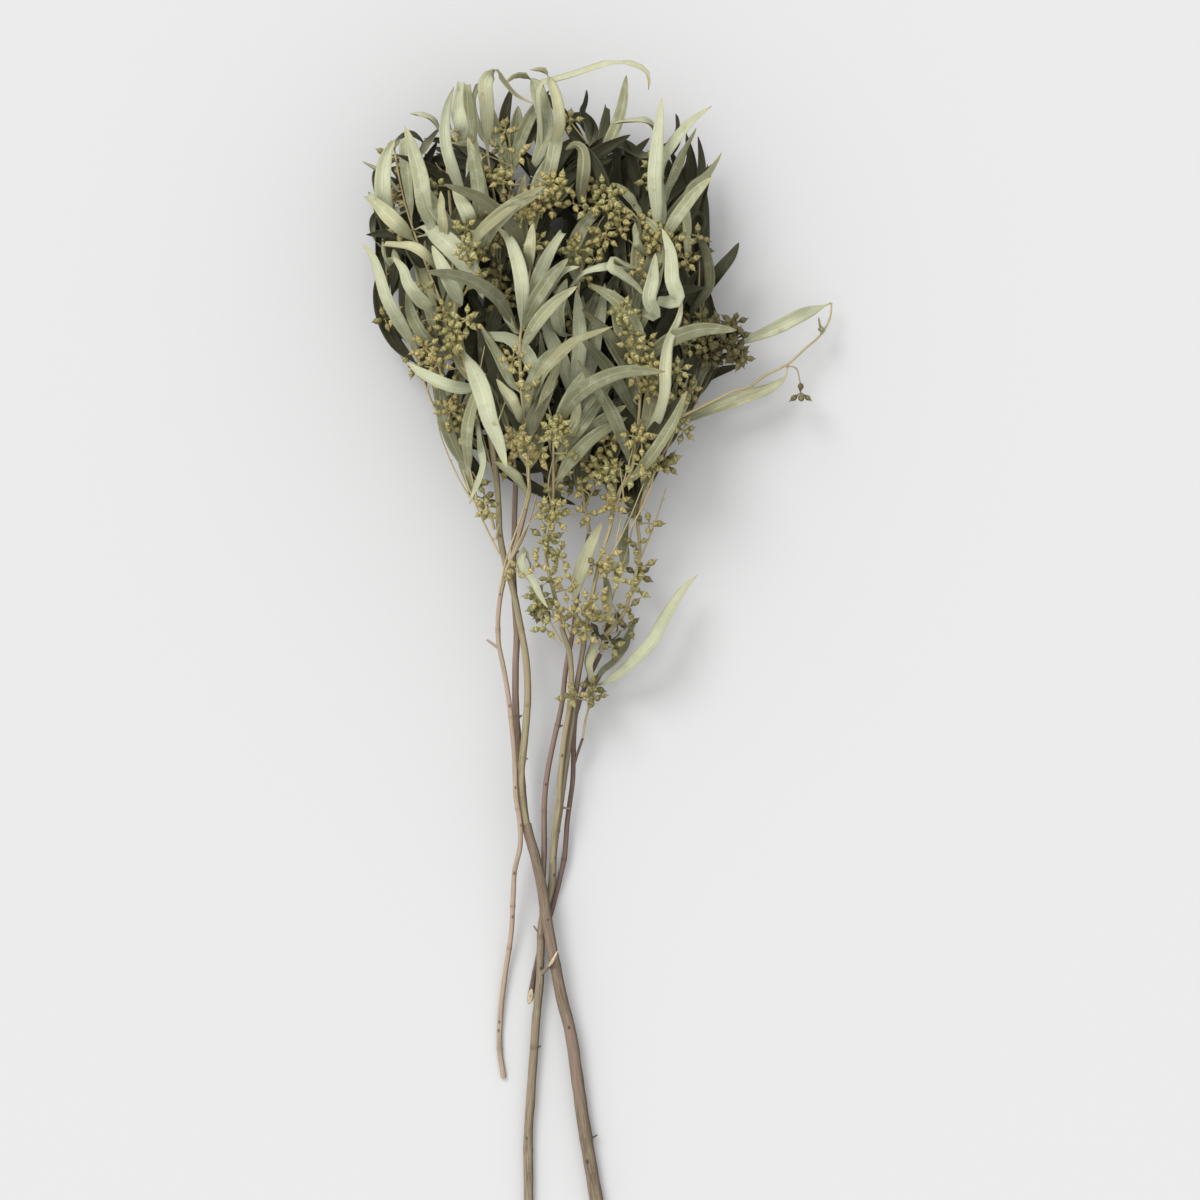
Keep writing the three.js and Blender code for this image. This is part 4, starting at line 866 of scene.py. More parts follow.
def inside(x: float, y: float) -> bool:
    """Whether a plan point lies inside the head's outline.

    Args:
        x: across, in mm.
        y: along, in mm.

    Returns:
        True inside.
    """
    within = False
    for (ax, ay), (bx, by) in zip(OUTLINE, [OUTLINE[-1], *OUTLINE[:-1]]):
        if (ay > y) != (by > y) and x < (bx - ax) * (y - ay) / (by - ay) + ax:
            within = not within
    return within


class Clearing:
    """What already stands in the head, so that each new piece finds a free height."""

    GAP = 0.45
    MOST = 60000

    def __init__(self) -> None:
        """Start with nothing in the way."""
        self.rows = np.zeros((self.MOST, 7))
        self.count = 0
        self.owners: list[str] = []

    def add(self, spots: Array, owner: str) -> None:
        """Keep a piece's spots.

        Args:
            spots: rows from a piece's spots method.
            owner: name of its spray or stem.
        """
        if owner not in self.owners:
            self.owners.append(owner)
        end = self.count + len(spots)
        self.rows[self.count:end, :6] = spots
        self.rows[self.count:end, 6] = self.owners.index(owner)
        self.count = end

    def blocked(self, spots: Array, owner: str, strict: bool) -> bool:
        """Whether something stands where the spots are.

        Args:
            spots: rows from a piece's spots method.
            owner: name of its spray.
            strict: whether pieces of its own spray count too.

        Returns:
            True if it is blocked.
        """
        if (spots[:, 2] - np.minimum(spots[:, 4], 0.9) <= -0.6).any():
            return True
        low = spots[:, :2].min(axis=0) - spots[:, 3].max() - 12
        high = spots[:, :2].max(axis=0) + spots[:, 3].max() + 12
        taken = self.rows[: self.count]
        near = ((taken[:, :2] > low) & (taken[:, :2] < high)).all(axis=1)
        taken = taken[near]
        if not len(taken):
            return False
        own = taken[None, :, 6] == (self.owners.index(owner) if owner in self.owners else -1)
        both_apart = (spots[:, None, 5] > 0) & (taken[None, :, 5] > 0)
        counts = ~own | (both_apart if strict else np.zeros_like(own))
        height = np.abs(taken[None, :, 2] - spots[:, None, 2]) - taken[None, :, 4] - spots[:, None, 4]
        away = np.hypot(taken[None, :, 0] - spots[:, None, 0], taken[None, :, 1] - spots[:, None, 1])
        close = away < taken[None, :, 3] + spots[:, None, 3] + self.GAP
        return bool((counts & close & (height <= self.GAP)).any())

    def settle(self, spots_at: Callable[[float], Array], lifts: list[int], owner: str) -> float | None:
        """First lift at which a piece clears all the others, or else every other branch.

        Args:
            spots_at: gives the piece's spots at a lift.
            lifts: lifts to try, in order.
            owner: name of its spray.

        Returns:
            The lift, or None if none is free.
        """
        for strict in (True, False):
            for lift in lifts:
                if not self.blocked(spots_at(lift), owner, strict):
                    self.add(spots_at(lift), owner)
                    return float(lift)
        return None


def bands(rings: int, sides: int) -> Faces:
    """Faces between rings of points.

    Args:
        rings: how many rings there are.
        sides: points in each.

    Returns:
        The faces, as places of their points.
    """
    faces = []
    for ring in range(rings - 1):
        for side in range(sides):
            here, nxt = ring * sides + side, ring * sides + (side + 1) % sides
            faces.append((here, nxt, nxt + sides, here + sides))
    return faces


def tube(line: Array, radii: Array, sides: int) -> tuple[Array, Faces, Array]:
    """Round tube along a line, with no ends.

    Args:
        line: points of its middle, one a row.
        radii: radius at each point.
        sides: faces around.

    Returns:
        Its points, its faces, and for each point its place around (0..1) and its distance along the line.
    """
    along = unit(np.gradient(line, axis=0))
    across = np.zeros_like(line)
    guess = np.array([1.0, 0.0, 0.0]) if abs(along[0, 0]) < 0.9 else np.array([0.0, 0.0, 1.0])
    for at, direction in enumerate(along):
        guess = guess - direction * float(guess @ direction)
        guess /= max(float(np.linalg.norm(guess)), 1e-9)
        across[at] = guess
    other = np.cross(along, across)
    angles = np.arange(sides) / sides * 2 * np.pi
    ring = across[:, None] * np.cos(angles)[None, :, None] + other[:, None] * np.sin(angles)[None, :, None]
    points = (line[:, None] + ring * radii[:, None, None]).reshape(-1, 3)
    run = distances(line)
    marks = np.column_stack([np.tile(angles / (2 * np.pi), len(line)), np.repeat(run, sides)])
    return points, bands(len(line), sides), marks


class Draft:
    """Points, faces and marks gathered for one piece. Marks are what its finish reads at each point."""

    # Held inside the box of the CAD part, in metres
    INSET = 0.00002

    def __init__(self) -> None:
        """Start with nothing."""
        self.points: list[Array] = []
        self.faces: Faces = []
        self.marks: list[Array] = []
        self.tints: list[Array] = []
        self.slots: list[int] = []
        self.count = 0

    def add(self, points: Array, faces: Faces, marks: Array, tint: Array,
            slot: int = 0) -> None:
        """Add one closed or open patch.

        Args:
            points: its points in mm, one a row.
            faces: its faces, as places in points.
            marks: three numbers for each point.
            tint: three numbers for the whole patch, or for each point.
            slot: material slot of its faces.
        """
        self.points.append(points)
        self.faces.extend(tuple(corner + self.count for corner in face) for face in faces)
        self.marks.append(marks)
        self.tints.append(np.broadcast_to(tint, points.shape))
        self.slots.extend([slot] * len(faces))
        self.count += len(points)

    def build(self, name: str, finishes: list[Skin]) -> bpy.types.Object:
        """Make the mesh object, in metres.

        Args:
            name: its name.
            finishes: its materials, in slot order.

        Returns:
            The object, linked into the scene.
        """
        points = (np.vstack(self.points) + CENTRE_SHIFT) * MM
        points = np.clip(points, np.array(CAD_BOX[0]) + self.INSET, np.array(CAD_BOX[1]) - self.INSET)
        mesh = bpy.data.meshes.new(name)
        mesh.from_pydata(points.tolist(), [], self.faces)
        for label, rows in (("mark", self.marks), ("tint", self.tints)):
            layer = mesh.attributes.new(label, "FLOAT_VECTOR", "POINT")
            layer.data.foreach_set("vector", np.vstack(rows).astype(np.float32).ravel())
        for finish in finishes:
            mesh.materials.append(finish)
        mesh.polygons.foreach_set("material_index", np.array(self.slots, np.int32))
        mesh.shade_smooth()
        mesh.update()
        piece = bpy.data.objects.new(name, mesh)
        bpy.context.scene.collection.objects.link(piece)
        return piece


def dressed(piece: bpy.types.Object, nodes: list[str]) -> None:
    """Put a piece in the frame in place of its CAD nodes.

    Args:
        piece: the Blender piece.
        nodes: CAD nodes that it stands for.
    """
    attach(piece, "root")
    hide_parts(*nodes)
    LOG.info("%s: %d faces for %s", piece.name, len(piece.data.polygons), ", ".join(nodes))


class Wire:
    """One output of a shader node, with arithmetic that adds Math nodes."""

    def __init__(self, shader: "Shader", socket: bpy.types.NodeSocket) -> None:
        """Wrap a socket of a shader's tree."""
        self.shader, self.socket = shader, socket

    def maths(self, operation: str, *values: "Wire | float") -> "Wire":
        """Math node on values.

        Args:
            operation: the Math node's operation.
            values: its inputs, in order.

        Returns:
            The result.
        """
        return self.shader.node("ShaderNodeMath", {"operation": operation}, dict(enumerate(values)))

    def __add__(self, other: "Wire | float") -> "Wire":
        """Sum."""
        return self.maths("ADD", self, other)

    def __radd__(self, other: float) -> "Wire":
        """Sum, with the number first."""
        return self.maths("ADD", other, self)

    def __sub__(self, other: "Wire | float") -> "Wire":
        """Difference."""
        return self.maths("SUBTRACT", self, other)

    def __rsub__(self, other: float) -> "Wire":
        """Difference, with the number first."""
        return self.maths("SUBTRACT", other, self)

    def __mul__(self, other: "Wire | float") -> "Wire":
        """Product."""
        return self.maths("MULTIPLY", self, other)

    def __rmul__(self, other: float) -> "Wire":
        """Product, with the number first."""
        return self.maths("MULTIPLY", other, self)

    def sine(self) -> "Wire":
        """Sine."""
        return self.maths("SINE", self)

    def size(self) -> "Wire":
        """Value without its sign."""
        return self.maths("ABSOLUTE", self)

    def part(self) -> "Wire":
        """Fraction after the whole number."""
        return self.maths("FRACT", self)

    def step(self, low: float, high: float) -> "Wire":
        """Smooth rise from 0 at low to 1 at high, or a fall where low is the larger.

        Args:
            low: value at which it is 0.
            high: value at which it is 1.

        Returns:
            The share.
        """
        sockets = {"Value": self, "From Min": low, "From Max": high}
        return self.shader.node("ShaderNodeMapRange", {"interpolation_type": "SMOOTHSTEP"}, sockets)


Value = Wire | float
Colour = tuple[float, float, float]


class Shader:
    """One material under construction."""

    def __init__(self, name: str) -> None:
        """Start an empty material.

        Args:
            name: its name.
        """
        self.material = bpy.data.materials.new(name)
        self.material.use_nodes = True
        self.tree = self.material.node_tree
        self.tree.nodes.clear()

    def node(self, kind: str, settings: dict | None = None, sockets: dict | None = None,
             output: int | str = 0) -> Wire:
        """Add one node.

        Args:
            kind: the node's type.
            settings: its settings, set first; stops are those of a colour ramp.
            sockets: values or wires for its inputs, by name or place.
            output: name or place of the output wanted.

        Returns:
            That output.
        """
        made = self.tree.nodes.new(kind)
        for key, value in (settings or {}).items():
            if key == "stops":
                ramp = made.color_ramp
                while len(ramp.elements) < len(value):
                    ramp.elements.new(0.5)
                for element, (place, colour) in zip(ramp.elements, value):
                    element.position, element.color = place, (*colour, 1.0)
            else:
                setattr(made, key, value)
        for key, value in (sockets or {}).items():
            if isinstance(value, Wire):
                self.tree.links.new(value.socket, made.inputs[key])
            elif isinstance(value, tuple) and len(value) == 3 and made.inputs[key].type == "RGBA":
                made.inputs[key].default_value = (*value, 1.0)
            else:
                made.inputs[key].default_value = value
        return Wire(self, made.outputs[output])

    def mix(self, share: Value, one: Wire | Colour, other: Wire | Colour, blend: str = "MIX") -> Wire:
        """Mix two colours.

        Args:
            share: how much of the other, 0..1.
            one: first colour.
            other: second colour.
            blend: the way they are blended.

        Returns:
            The mixed colour.
        """
        settings = {"data_type": "RGBA", "blend_type": blend, "clamp_factor": True}
        return self.node("ShaderNodeMix", settings, {0: share, 6: one, 7: other}, 2)

    def mark(self, name: str) -> tuple[Wire, Wire, Wire]:
        """The three numbers of a surface mark.

        Args:
            name: mark or tint.

        Returns:
            Its three wires.
        """
        read = self.node("ShaderNodeAttribute", {"attribute_name": name}, None, "Vector")
        return tuple(self.node("ShaderNodeSeparateXYZ", None, {0: read}, at) for at in range(3))

    def joined(self, x: Value, y: Value, z: Value = 0.0) -> Wire:
        """Vector from three numbers."""
        return self.node("ShaderNodeCombineXYZ", None, {0: x, 1: y, 2: z})

    def wrapped(self, around: Wire, radius: Value, along: Value) -> Wire:
        """Vector to a place on a round stick, from the share of the way around."""
        turn = around * (2 * math.pi)
        return self.joined(turn.sine() * radius, (turn + math.pi / 2).sine() * radius, along)

    def place(self) -> Wire:
        """Place on the object, in metres."""
        return self.node("ShaderNodeTexCoord", None, None, "Object")

    def scaled(self, vector: Wire, scale: tuple[float, float, float]) -> Wire:
        """Vector times a scale in each direction."""
        return self.node("ShaderNodeVectorMath", {"operation": "MULTIPLY"}, {0: vector, 1: scale})

    def grain(self, vector: Wire, scale: float, detail: float = 2.0, rough: float = 0.5) -> Wire:
        """Noise from 0 to 1.

        Args:
            vector: where it is read.
            scale: its fineness.
            detail: its finer layers.
            rough: strength of those layers.

        Returns:
            The noise.
        """
        sockets = {"Vector": vector, "Scale": scale, "Detail": detail, "Roughness": rough}
        return self.node("ShaderNodeTexNoise", None, sockets, "Fac")

    def cells(self, vector: Wire, scale: float) -> Wire:
        """Distance to the nearest of scattered points, from 0."""
        return self.node("ShaderNodeTexVoronoi", None, {"Vector": vector, "Scale": scale}, "Distance")

    def finish(self, colour: Wire, roughness: Value, height: Wire, depth: float,
               **constants: float) -> Skin:
        """End the material with its surface.

        Args:
            colour: base colour.
            roughness: roughness.
            height: relief, 0..1.
            depth: height of the relief in metres.
            constants: other values of the surface, by socket name with underscores for spaces.

        Returns:
            The material.
        """
        bump = self.node("ShaderNodeBump", None, {"Strength": 1.0, "Distance": depth, "Height": height})
        sockets = {"Base Color": colour, "Roughness": roughness, "Normal": bump}
        sockets.update({name.replace("_", " "): value for name, value in constants.items()})
        surface = self.node("ShaderNodeBsdfPrincipled", None, sockets)
        output = self.tree.nodes.new("ShaderNodeOutputMaterial")
        self.tree.links.new(surface.socket, output.inputs["Surface"])
        return self.material


@dataclass(frozen=True)
class LeafFinish:
    """Dried sage leaf: pale midrib, fine side veins, waxy bloom, specks, brown patches, painted shade by
    depth and edge.
    """

    sage: Colour = (0.53, 0.55, 0.375)
    olive: Colour = (0.30, 0.305, 0.17)
    # Near-black painted shade for leaves deep in the pile
    shade: Colour = (0.03, 0.029, 0.012)
    bloom: Colour = (0.61, 0.65, 0.49)
    under: Colour = (0.17, 0.16, 0.08)
    rib: Colour = (0.76, 0.73, 0.49)
    straw: Colour = (0.66, 0.59, 0.31)
    brown: Colour = (0.25, 0.17, 0.08)
    speck: Colour = (0.10, 0.08, 0.035)

    def material(self) -> Skin:
        """Build the finish. Mark holds across (-1..1), along in mm and 1 on the underside.

        Tint holds painted depth shade with random darkening, share of the leaf's length and a random number.

        Returns:
            The material.
        """
        shader = Shader("dried_leaf")
        across, along, under = shader.mark("mark")
        tone_and_shade, share, seed = shader.mark("tint")
        warmth = (seed * 7.3).part()
        side = across.size()
        spot = shader.joined(across * 4.3, along, seed * 97.0)
        cloud = shader.grain(spot, 0.16, 3.0, 0.6)
        fibre = shader.grain(shader.scaled(spot, (1.6, 0.09, 1.0)), 2.2, 3.0, 0.6)
        wander = shader.grain(spot, 0.5, 1.0) * 0.8
        slant = (along * 0.52 - side * 1.5 + wander).part()
        vein = (slant - 0.5).size().step(0.42, 0.5) * side.step(0.95, 0.7)
        edge_vein = (side - 0.84).size().step(0.06, 0.02)
        rib = side.step(0.16, 0.07)
        # Darker leaves turn olive: partly random, partly painted shade by depth
        base = shader.mix(tone_and_shade.step(0.0, 0.6), self.sage, self.olive)
        base = shader.mix(cloud.step(0.45, 0.75) * 0.55, base, self.bloom)
        base = shader.mix(cloud.step(0.42, 0.2) * 0.4, base, self.olive)
        base = shader.mix(fibre.step(0.35, 0.75) * 0.25, base, self.olive)
        base = shader.mix(warmth.step(0.55, 1.0) * 0.35, base, self.straw)
        base = shader.mix(under * 0.85, base, self.under)
        base = shader.mix(vein * 0.32 + edge_vein * 0.2, base, self.rib)
        # Painted shade of the curl: darker towards the edges
        base = shader.mix(side.step(0.25, 1.0) * 0.28, base, self.olive)
        base = shader.mix(rib * 0.3, base, self.rib)
        ends = share.step(0.12, 0.02) + share.step(0.86, 1.0) * 0.7
        base = shader.mix(ends * 0.7, base, self.straw)
        # Painted shade: leaves deep in the pile, and their lower parts, go near black
        base = shader.mix(tone_and_shade.step(0.5, 1.0) * 0.96, base, self.shade)
        patch = shader.grain(spot, 0.09, 2.0, 0.7)
        wear_and_shade = patch.step(0.66, 0.82) * 0.6 + side.step(0.9, 1.0) * 0.3 * warmth
        base = shader.mix(wear_and_shade, base, self.brown)
        dots = shader.cells(shader.joined(across * 4.3, along, seed * 31.0), 0.85)
        picks = shader.grain(spot, 1.1, 1.0).step(0.52, 0.62)
        specks = dots.step(0.2, 0.08) * picks
        base = shader.mix(specks * 0.6, base, self.speck)
        relief = rib * 0.5 + vein * 0.22 + fibre * 0.35 + cloud * 0.5 + specks * -0.1
        return shader.finish(base, cloud * -0.18 + 0.72, relief, 0.0005, Specular_IOR_Level=0.28)


@dataclass(frozen=True)
class SeedFinish:
    """Dried seed cup: golden olive, with a paler rim, a brown point, and painted shade at its foot and by
    depth.
    """

    gold: Colour = (0.42, 0.335, 0.115)
    green: Colour = (0.31, 0.295, 0.105)
    pale: Colour = (0.72, 0.64, 0.33)
    brown: Colour = (0.06, 0.05, 0.018)

    def material(self) -> Skin:
        """Build the finish. Mark: around (0..1), along (0..1), 1 on stalks. Tint: painted shade, two random
        numbers.

        Returns:
            The material.
        """
        shader = Shader("seed_cup")
        around, along, stalk = shader.mark("mark")
        tone_and_shade, warmth, seed = shader.mark("tint")
        place = shader.place()
        cloud = shader.grain(place, 420.0, 3.0, 0.6)
        fine = shader.grain(place, 2600.0, 2.0, 0.6)
        base = shader.mix(warmth, self.gold, self.green)
        base = shader.mix(cloud.step(0.45, 0.85) * 0.4, base, self.pale)
        cup = 1 - stalk
        rim = (along - 0.5).size().step(0.07, 0.02) * cup
        base = shader.mix(rim * 0.55, base, self.pale)
        groove = (along - 0.58).size().step(0.05, 0.01) * cup
        base = shader.mix(groove * 0.6, base, self.brown)
        point = along.step(0.86, 1.0) * cup
        base = shader.mix(point * 0.8, base, self.brown)
        # Painted shade at the foot of each cup, next to its stalk
        base = shader.mix(along.step(0.42, 0.05) * 0.55 * cup, base, self.brown)
        base = shader.mix(stalk * 0.35, base, self.pale)
        base = shader.mix(fine.step(0.55, 0.85) * 0.35, base, self.brown)
        # Painted shade: cups low in the pile, right of the middle, facing down or away from the window
        base = shader.mix(tone_and_shade * 0.92, base, self.brown)
        ridge = ((around * 5.0).part() - 0.5).size() * cup
        relief = ridge * 0.25 + cloud * 0.5 + fine * 0.25
        return shader.finish(base, 0.62 - cloud * 0.12, relief, 0.00025, Specular_IOR_Level=0.35)


@dataclass(frozen=True)
class BarkFinish:
    """Dry bark: long streaks, pale dashes, dark rings at the nodes, and painted shade on one side and
    underneath.
    """

    name: str
    light: Colour
    dark: Colour
    blush: Colour

    def material(self) -> Skin:
        """Build the finish. Mark holds around (0..1), along in mm and how near a node it is.

        Tint starts with painted shade on the side away from the window and underneath; on eyes and scars,
        their own darkness.

        Returns:
            The material.
        """
        shader = Shader(self.name)
        around, along, knot = shader.mark("mark")
        shade_and_eye_dark, _, _ = shader.mark("tint")
        ring = shader.wrapped(around, 2.0, along)
        streak = shader.grain(shader.scaled(ring, (1.3, 1.3, 0.045)), 1.6, 4.0, 0.65)
        broad = shader.grain(shader.scaled(ring, (0.35, 0.35, 0.02)), 1.0, 2.0, 0.5)
        fine = shader.grain(shader.scaled(ring, (3.0, 3.0, 0.5)), 1.6, 3.0, 0.6)
        base = shader.mix(streak.step(0.32, 0.72), self.dark, self.light)
        base = shader.mix(broad.step(0.4, 0.65) * 0.65, base, self.blush)
        dash_place = shader.scaled(ring, (0.9, 0.9, 0.22))
        dash = shader.cells(dash_place, 1.15).step(0.16, 0.07)
        pale = tuple(min(1.0, channel * 1.5 + 0.05) for channel in self.light)
        base = shader.mix(dash * 0.5, base, pale)
        base = shader.mix(fine.step(0.6, 0.85) * 0.4, base, self.dark)
        # Darker bark, for the rings at the nodes and for the painted shade
        dark_ring_and_shade = tuple(channel * 0.45 for channel in self.dark)
        # Painted shade: the side away from the window and the underside go dark
        base = shader.mix((shade_and_eye_dark + streak * 0.4).step(0.25, 1.0) * 0.8, base, dark_ring_and_shade)
        wear_and_shade = knot.step(0.3, 1.0) * fine.step(0.3, 0.6) * (broad + streak * 0.5).step(0.55, 0.9)
        base = shader.mix(wear_and_shade * 0.6, base, dark_ring_and_shade)
        relief = streak * 0.55 + fine * 0.3 + dash * 0.25 - knot * 0.1
        return shader.finish(base, 0.78 - streak * 0.16, relief, 0.0004, Specular_IOR_Level=0.3)


@dataclass(frozen=True)
class CutFinish:
    """Fresh-cut wood: pale, with faint rings round a darker pith."""

    wood: Colour = (0.74, 0.62, 0.42)
    ring: Colour = (0.50, 0.37, 0.2)
    pith: Colour = (0.22, 0.13, 0.06)

    def material(self) -> Skin:
        """Build the finish. Mark holds around (0..1) and the distance from the middle (0..1).

        Returns:
            The material.
        """
        shader = Shader("cut_wood")
        around, out, _ = shader.mark("mark")
        flat = shader.wrapped(around, out, 0.0)
        fibre = shader.grain(flat, 14.0, 3.0, 0.6)
        rings = ((out * 5.0 + fibre * 0.5).part() - 0.5).size().step(0.3, 0.5)
        base = shader.mix(rings * 0.6, self.wood, self.ring)
        base = shader.mix(fibre.step(0.5, 0.8) * 0.4, base, self.ring)
        base = shader.mix(out.step(0.22, 0.1), base, self.pith)
        base = shader.mix(out.step(0.86, 0.98) * 0.6, base, self.pith)
        relief = rings * 0.4 + fibre * 0.5
        return shader.finish(base, 0.8 - rings * 0.05, relief, 0.0003, Specular_IOR_Level=0.2)


@dataclass(frozen=True)
class PaperFinish:
    """Matt pale surface under the bunch."""

    colour: Colour = (0.62, 0.62, 0.62)

    def material(self) -> Skin:
        """Build the finish.

        Returns:
            The material.
        """
        shader = Shader("pale_surface")
        tooth = shader.grain(shader.place(), 900.0, 2.0, 0.5)
        base = shader.mix(tooth * 0.02, self.colour, (0.59, 0.59, 0.59))
        return shader.finish(base, 0.9 - tooth * 0.05, tooth, 0.00002, Specular_IOR_Level=0.1)


def bark(name: str, light: Colour, dark: Colour, blush: Colour) -> Skin:
    """Field that makes one bark finish."""
    return field(default_factory=BarkFinish(name, light, dark, blush).material)


@dataclass
class Finishes:
    """Every finish of the bunch, each made once."""

    leaf: Skin = field(default_factory=LeafFinish().material)
    seed: Skin = field(default_factory=SeedFinish().material)
    cut: Skin = field(default_factory=CutFinish().material)
    twig: Skin = bark("green_twig", (0.66, 0.59, 0.33), (0.36, 0.29, 0.13), (0.52, 0.40, 0.22))
    tan: Skin = bark("tan_bark", (0.27, 0.21, 0.14), (0.115, 0.088, 0.055), (0.27, 0.18, 0.145))
    olive: Skin = bark("olive_bark", (0.35, 0.295, 0.2), (0.14, 0.11, 0.065), (0.27, 0.2, 0.135))
    straw: Skin = bark("straw_bark", (0.42, 0.37, 0.225), (0.21, 0.17, 0.09), (0.35, 0.28, 0.17))
    sand: Skin = bark("sand_bark", (0.52, 0.43, 0.32), (0.26, 0.19, 0.125), (0.45, 0.32, 0.245))
    rose: Skin = bark("rose_bark", (0.35, 0.265, 0.2), (0.15, 0.105, 0.075), (0.31, 0.2, 0.165))
    plum: Skin = bark("plum_bark", (0.235, 0.165, 0.13), (0.08, 0.053, 0.038), (0.21, 0.125, 0.105))


@dataclass
class LeafMaker:
    """Turns a leaf into its thin curled shell: points along and across it, and its sizes in mm."""

    draw: Draws
    rows: int = 22
    columns: int = 7
    thickness: float = 0.36
    # Share of the length that is its stalk
    petiole: float = 0.085
    # How fast the blade widens from the stalk and narrows to the point, and where it is widest
    widening: float = 0.55
    narrowing: float = 0.68
    widest: float = 0.44715
    # Bent tip of a curled leaf: rings of the bend, rings of its end, and their step as a share of the length
    bend_rings: int = 5
    end_rings: int = 4
    end_step: float = 0.085
    # Radius of the bend as a share of the width, and its turn in radians
    bend_radius: Pair = (0.5, 0.75)
    bend_turn: Pair = (2.3, 3.0)
    # Height of the waves along a leaf, and how many there are
    sways: Pair = (0.2, 0.9)
    sway_turns: Pair = (0.8, 1.7)
    # Rise of the edges and of the crease as shares of the half width, and greatest twist in radians
    cupping: Pair = (-0.05, 0.32)
    creasing: Pair = (0.12, 0.42)
    twisting: float = 0.45
    # Further turn of a leaf that arches right over, in radians
    fold_turn: float = 1.95
    highest: float = CAD_BOX[1][2] / MM - 0.2

    def half_width(self, shares: Array, width: float) -> Array:
        """Half the blade's width along its length.

        Args:
            shares: shares of the length.
            width: greatest width in mm.

        Returns:
            The half widths in mm.
        """
        blade = np.clip((shares - self.petiole) / (1 - self.petiole), 0, 1)
        lance = blade ** self.widening * (1 - blade) ** self.narrowing
        most = self.widest ** self.widening * (1 - self.widest) ** self.narrowing
        stalk = 0.42 + 0.1 * (1 - shares)
        return np.maximum(lance / most * width / 2, stalk * (1 - blade) + 0.12 * blade)

    def middle(self, leaf: Leaf) -> tuple[Array, Array]:
        """Middle line of a leaf and the level direction across it, with its tip bent under if it is curled.

        Args:
            leaf: the leaf.

        Returns:
            The points and the directions, one a row.
        """
        bent = self.bend_rings + self.end_rings if leaf.curled else 0
        shares = np.linspace(0, 1, self.rows - bent) ** 0.9
        line = leaf.points(leaf.lift, shares)
        sway, pace = self.draw.between(*self.sways), self.draw.between(*self.sway_turns)
        sway = sway * np.sin(2 * np.pi * (shares * pace + self.draw()))
        line[:, 2] += sway * smooth((shares - 0.1) * 3) * (0.3 if leaf.rests else 1.0)
        along = unit(np.gradient(line, axis=0))
        level = unit(np.column_stack([along[:, 1], -along[:, 0], np.zeros(len(line))]))
        if bent:
            ahead = np.array([-level[-1, 1], level[-1, 0], 0.0])
            radius = leaf.width * self.draw.between(*self.bend_radius)
            angles = np.linspace(0, self.draw.between(*self.bend_turn), self.bend_rings + 1)[1:]
            arc = ahead * (np.sin(angles) * radius)[:, None]
            arc[:, 2] -= (1 - np.cos(angles)) * radius
            back = ahead * math.cos(angles[-1]) - np.array([0.0, 0.0, math.sin(angles[-1])])
            steps = np.arange(1, self.end_rings + 1)[:, None] * leaf.plan.length * self.end_step
            tail = line[-1] + arc
            line = np.vstack([line, tail, tail[-1] + back * steps])
            level = np.vstack([level, np.repeat(level[-1:], bent, axis=0)])
        return line, level

    def add(self, draft: Draft, leaf: Leaf) -> None:
        """Add one leaf to a piece.

        Args:
            draft: the piece.
            leaf: the leaf.
        """
        draw = self.draw
        line, level = self.middle(leaf)
        run = distances(line)
        shares = run / run[-1]
        blade = smooth((shares - 0.1) * 3)
        along = unit(np.gradient(line, axis=0))
        twist = draw.between(-self.twisting, self.twisting) * (1.6 if leaf.rise is Rise.LOW else 1.0)
        angles = leaf.turn * smooth(shares * 4) + twist * (shares - 0.35) * blade
        if leaf.folded:
            angles += self.fold(line, shares)
        across = turned(level, along, angles)
        up = np.cross(across, along)
        half = self.half_width(shares, min(leaf.width, 0.26 * float(run[-1])))
        half *= 1 - 0.42 * smooth((shares - 0.4) / 0.3) * leaf.curled
        columns = np.linspace(-1, 1, self.columns)
        cup = draw.between(*self.cupping)
        crease = draw.between(*self.creasing)
        lift = cup * np.abs(columns) ** 1.8 + crease * np.abs(columns)
        ripples = np.zeros((self.rows, self.columns))
        for side in (-1, 1):
            wave = np.sin(2 * np.pi * (shares * draw.between(1.2, 3.2) + draw()))
            ripples += np.outer(wave * draw.between(0.05, 0.2), np.clip(side * columns, 0, 1) ** 2)
        rise = (lift[None] + ripples) * (half * blade)[:, None]
        aside = across[:, None] * (columns[None] * half[:, None])[..., None]
        top = line[:, None] + aside + up[:, None] * rise[..., None]
        thinned = np.where(np.abs(columns) > 0.9, 0.4, 1.0)
        thick = self.thickness * (0.75 + 0.6 * (np.abs(columns) < 0.1)) * thinned
        low = top - up[:, None] * thick[None, :, None]
        points = np.vstack([top.reshape(-1, 3), low.reshape(-1, 3)])
        over = max(0.0, float(points[:, 2].max()) - self.highest)
        points[:, 2] -= over * np.tile(np.repeat(smooth(shares * 3), self.columns), 2)
        count = self.rows * self.columns
        marks = np.column_stack([np.tile(columns, self.rows), np.repeat(run, self.columns), np.zeros(count)])
        under = marks.copy()
        under[:, 2] = 1.0
        tone_and_shade = DEPTH_SHADES[leaf.rise]
        # Painted shade: parts of a leaf lower than its twig go darker, as does a deep leaf
        shade_below = 0.65 * smooth((leaf.root - points[:, 2] + 2) / 26)
        tone_and_shade = np.clip(tone_and_shade + draw.between(0.0, 0.3) + leaf.age + shade_below * (not leaf.rests), 0, 1)
        share = np.tile(np.repeat(shares, self.columns), 2)
        tint = np.column_stack([tone_and_shade, share, np.full(len(points), draw())])
        draft.add(points, self.faces(), np.vstack([marks, under]), tint)

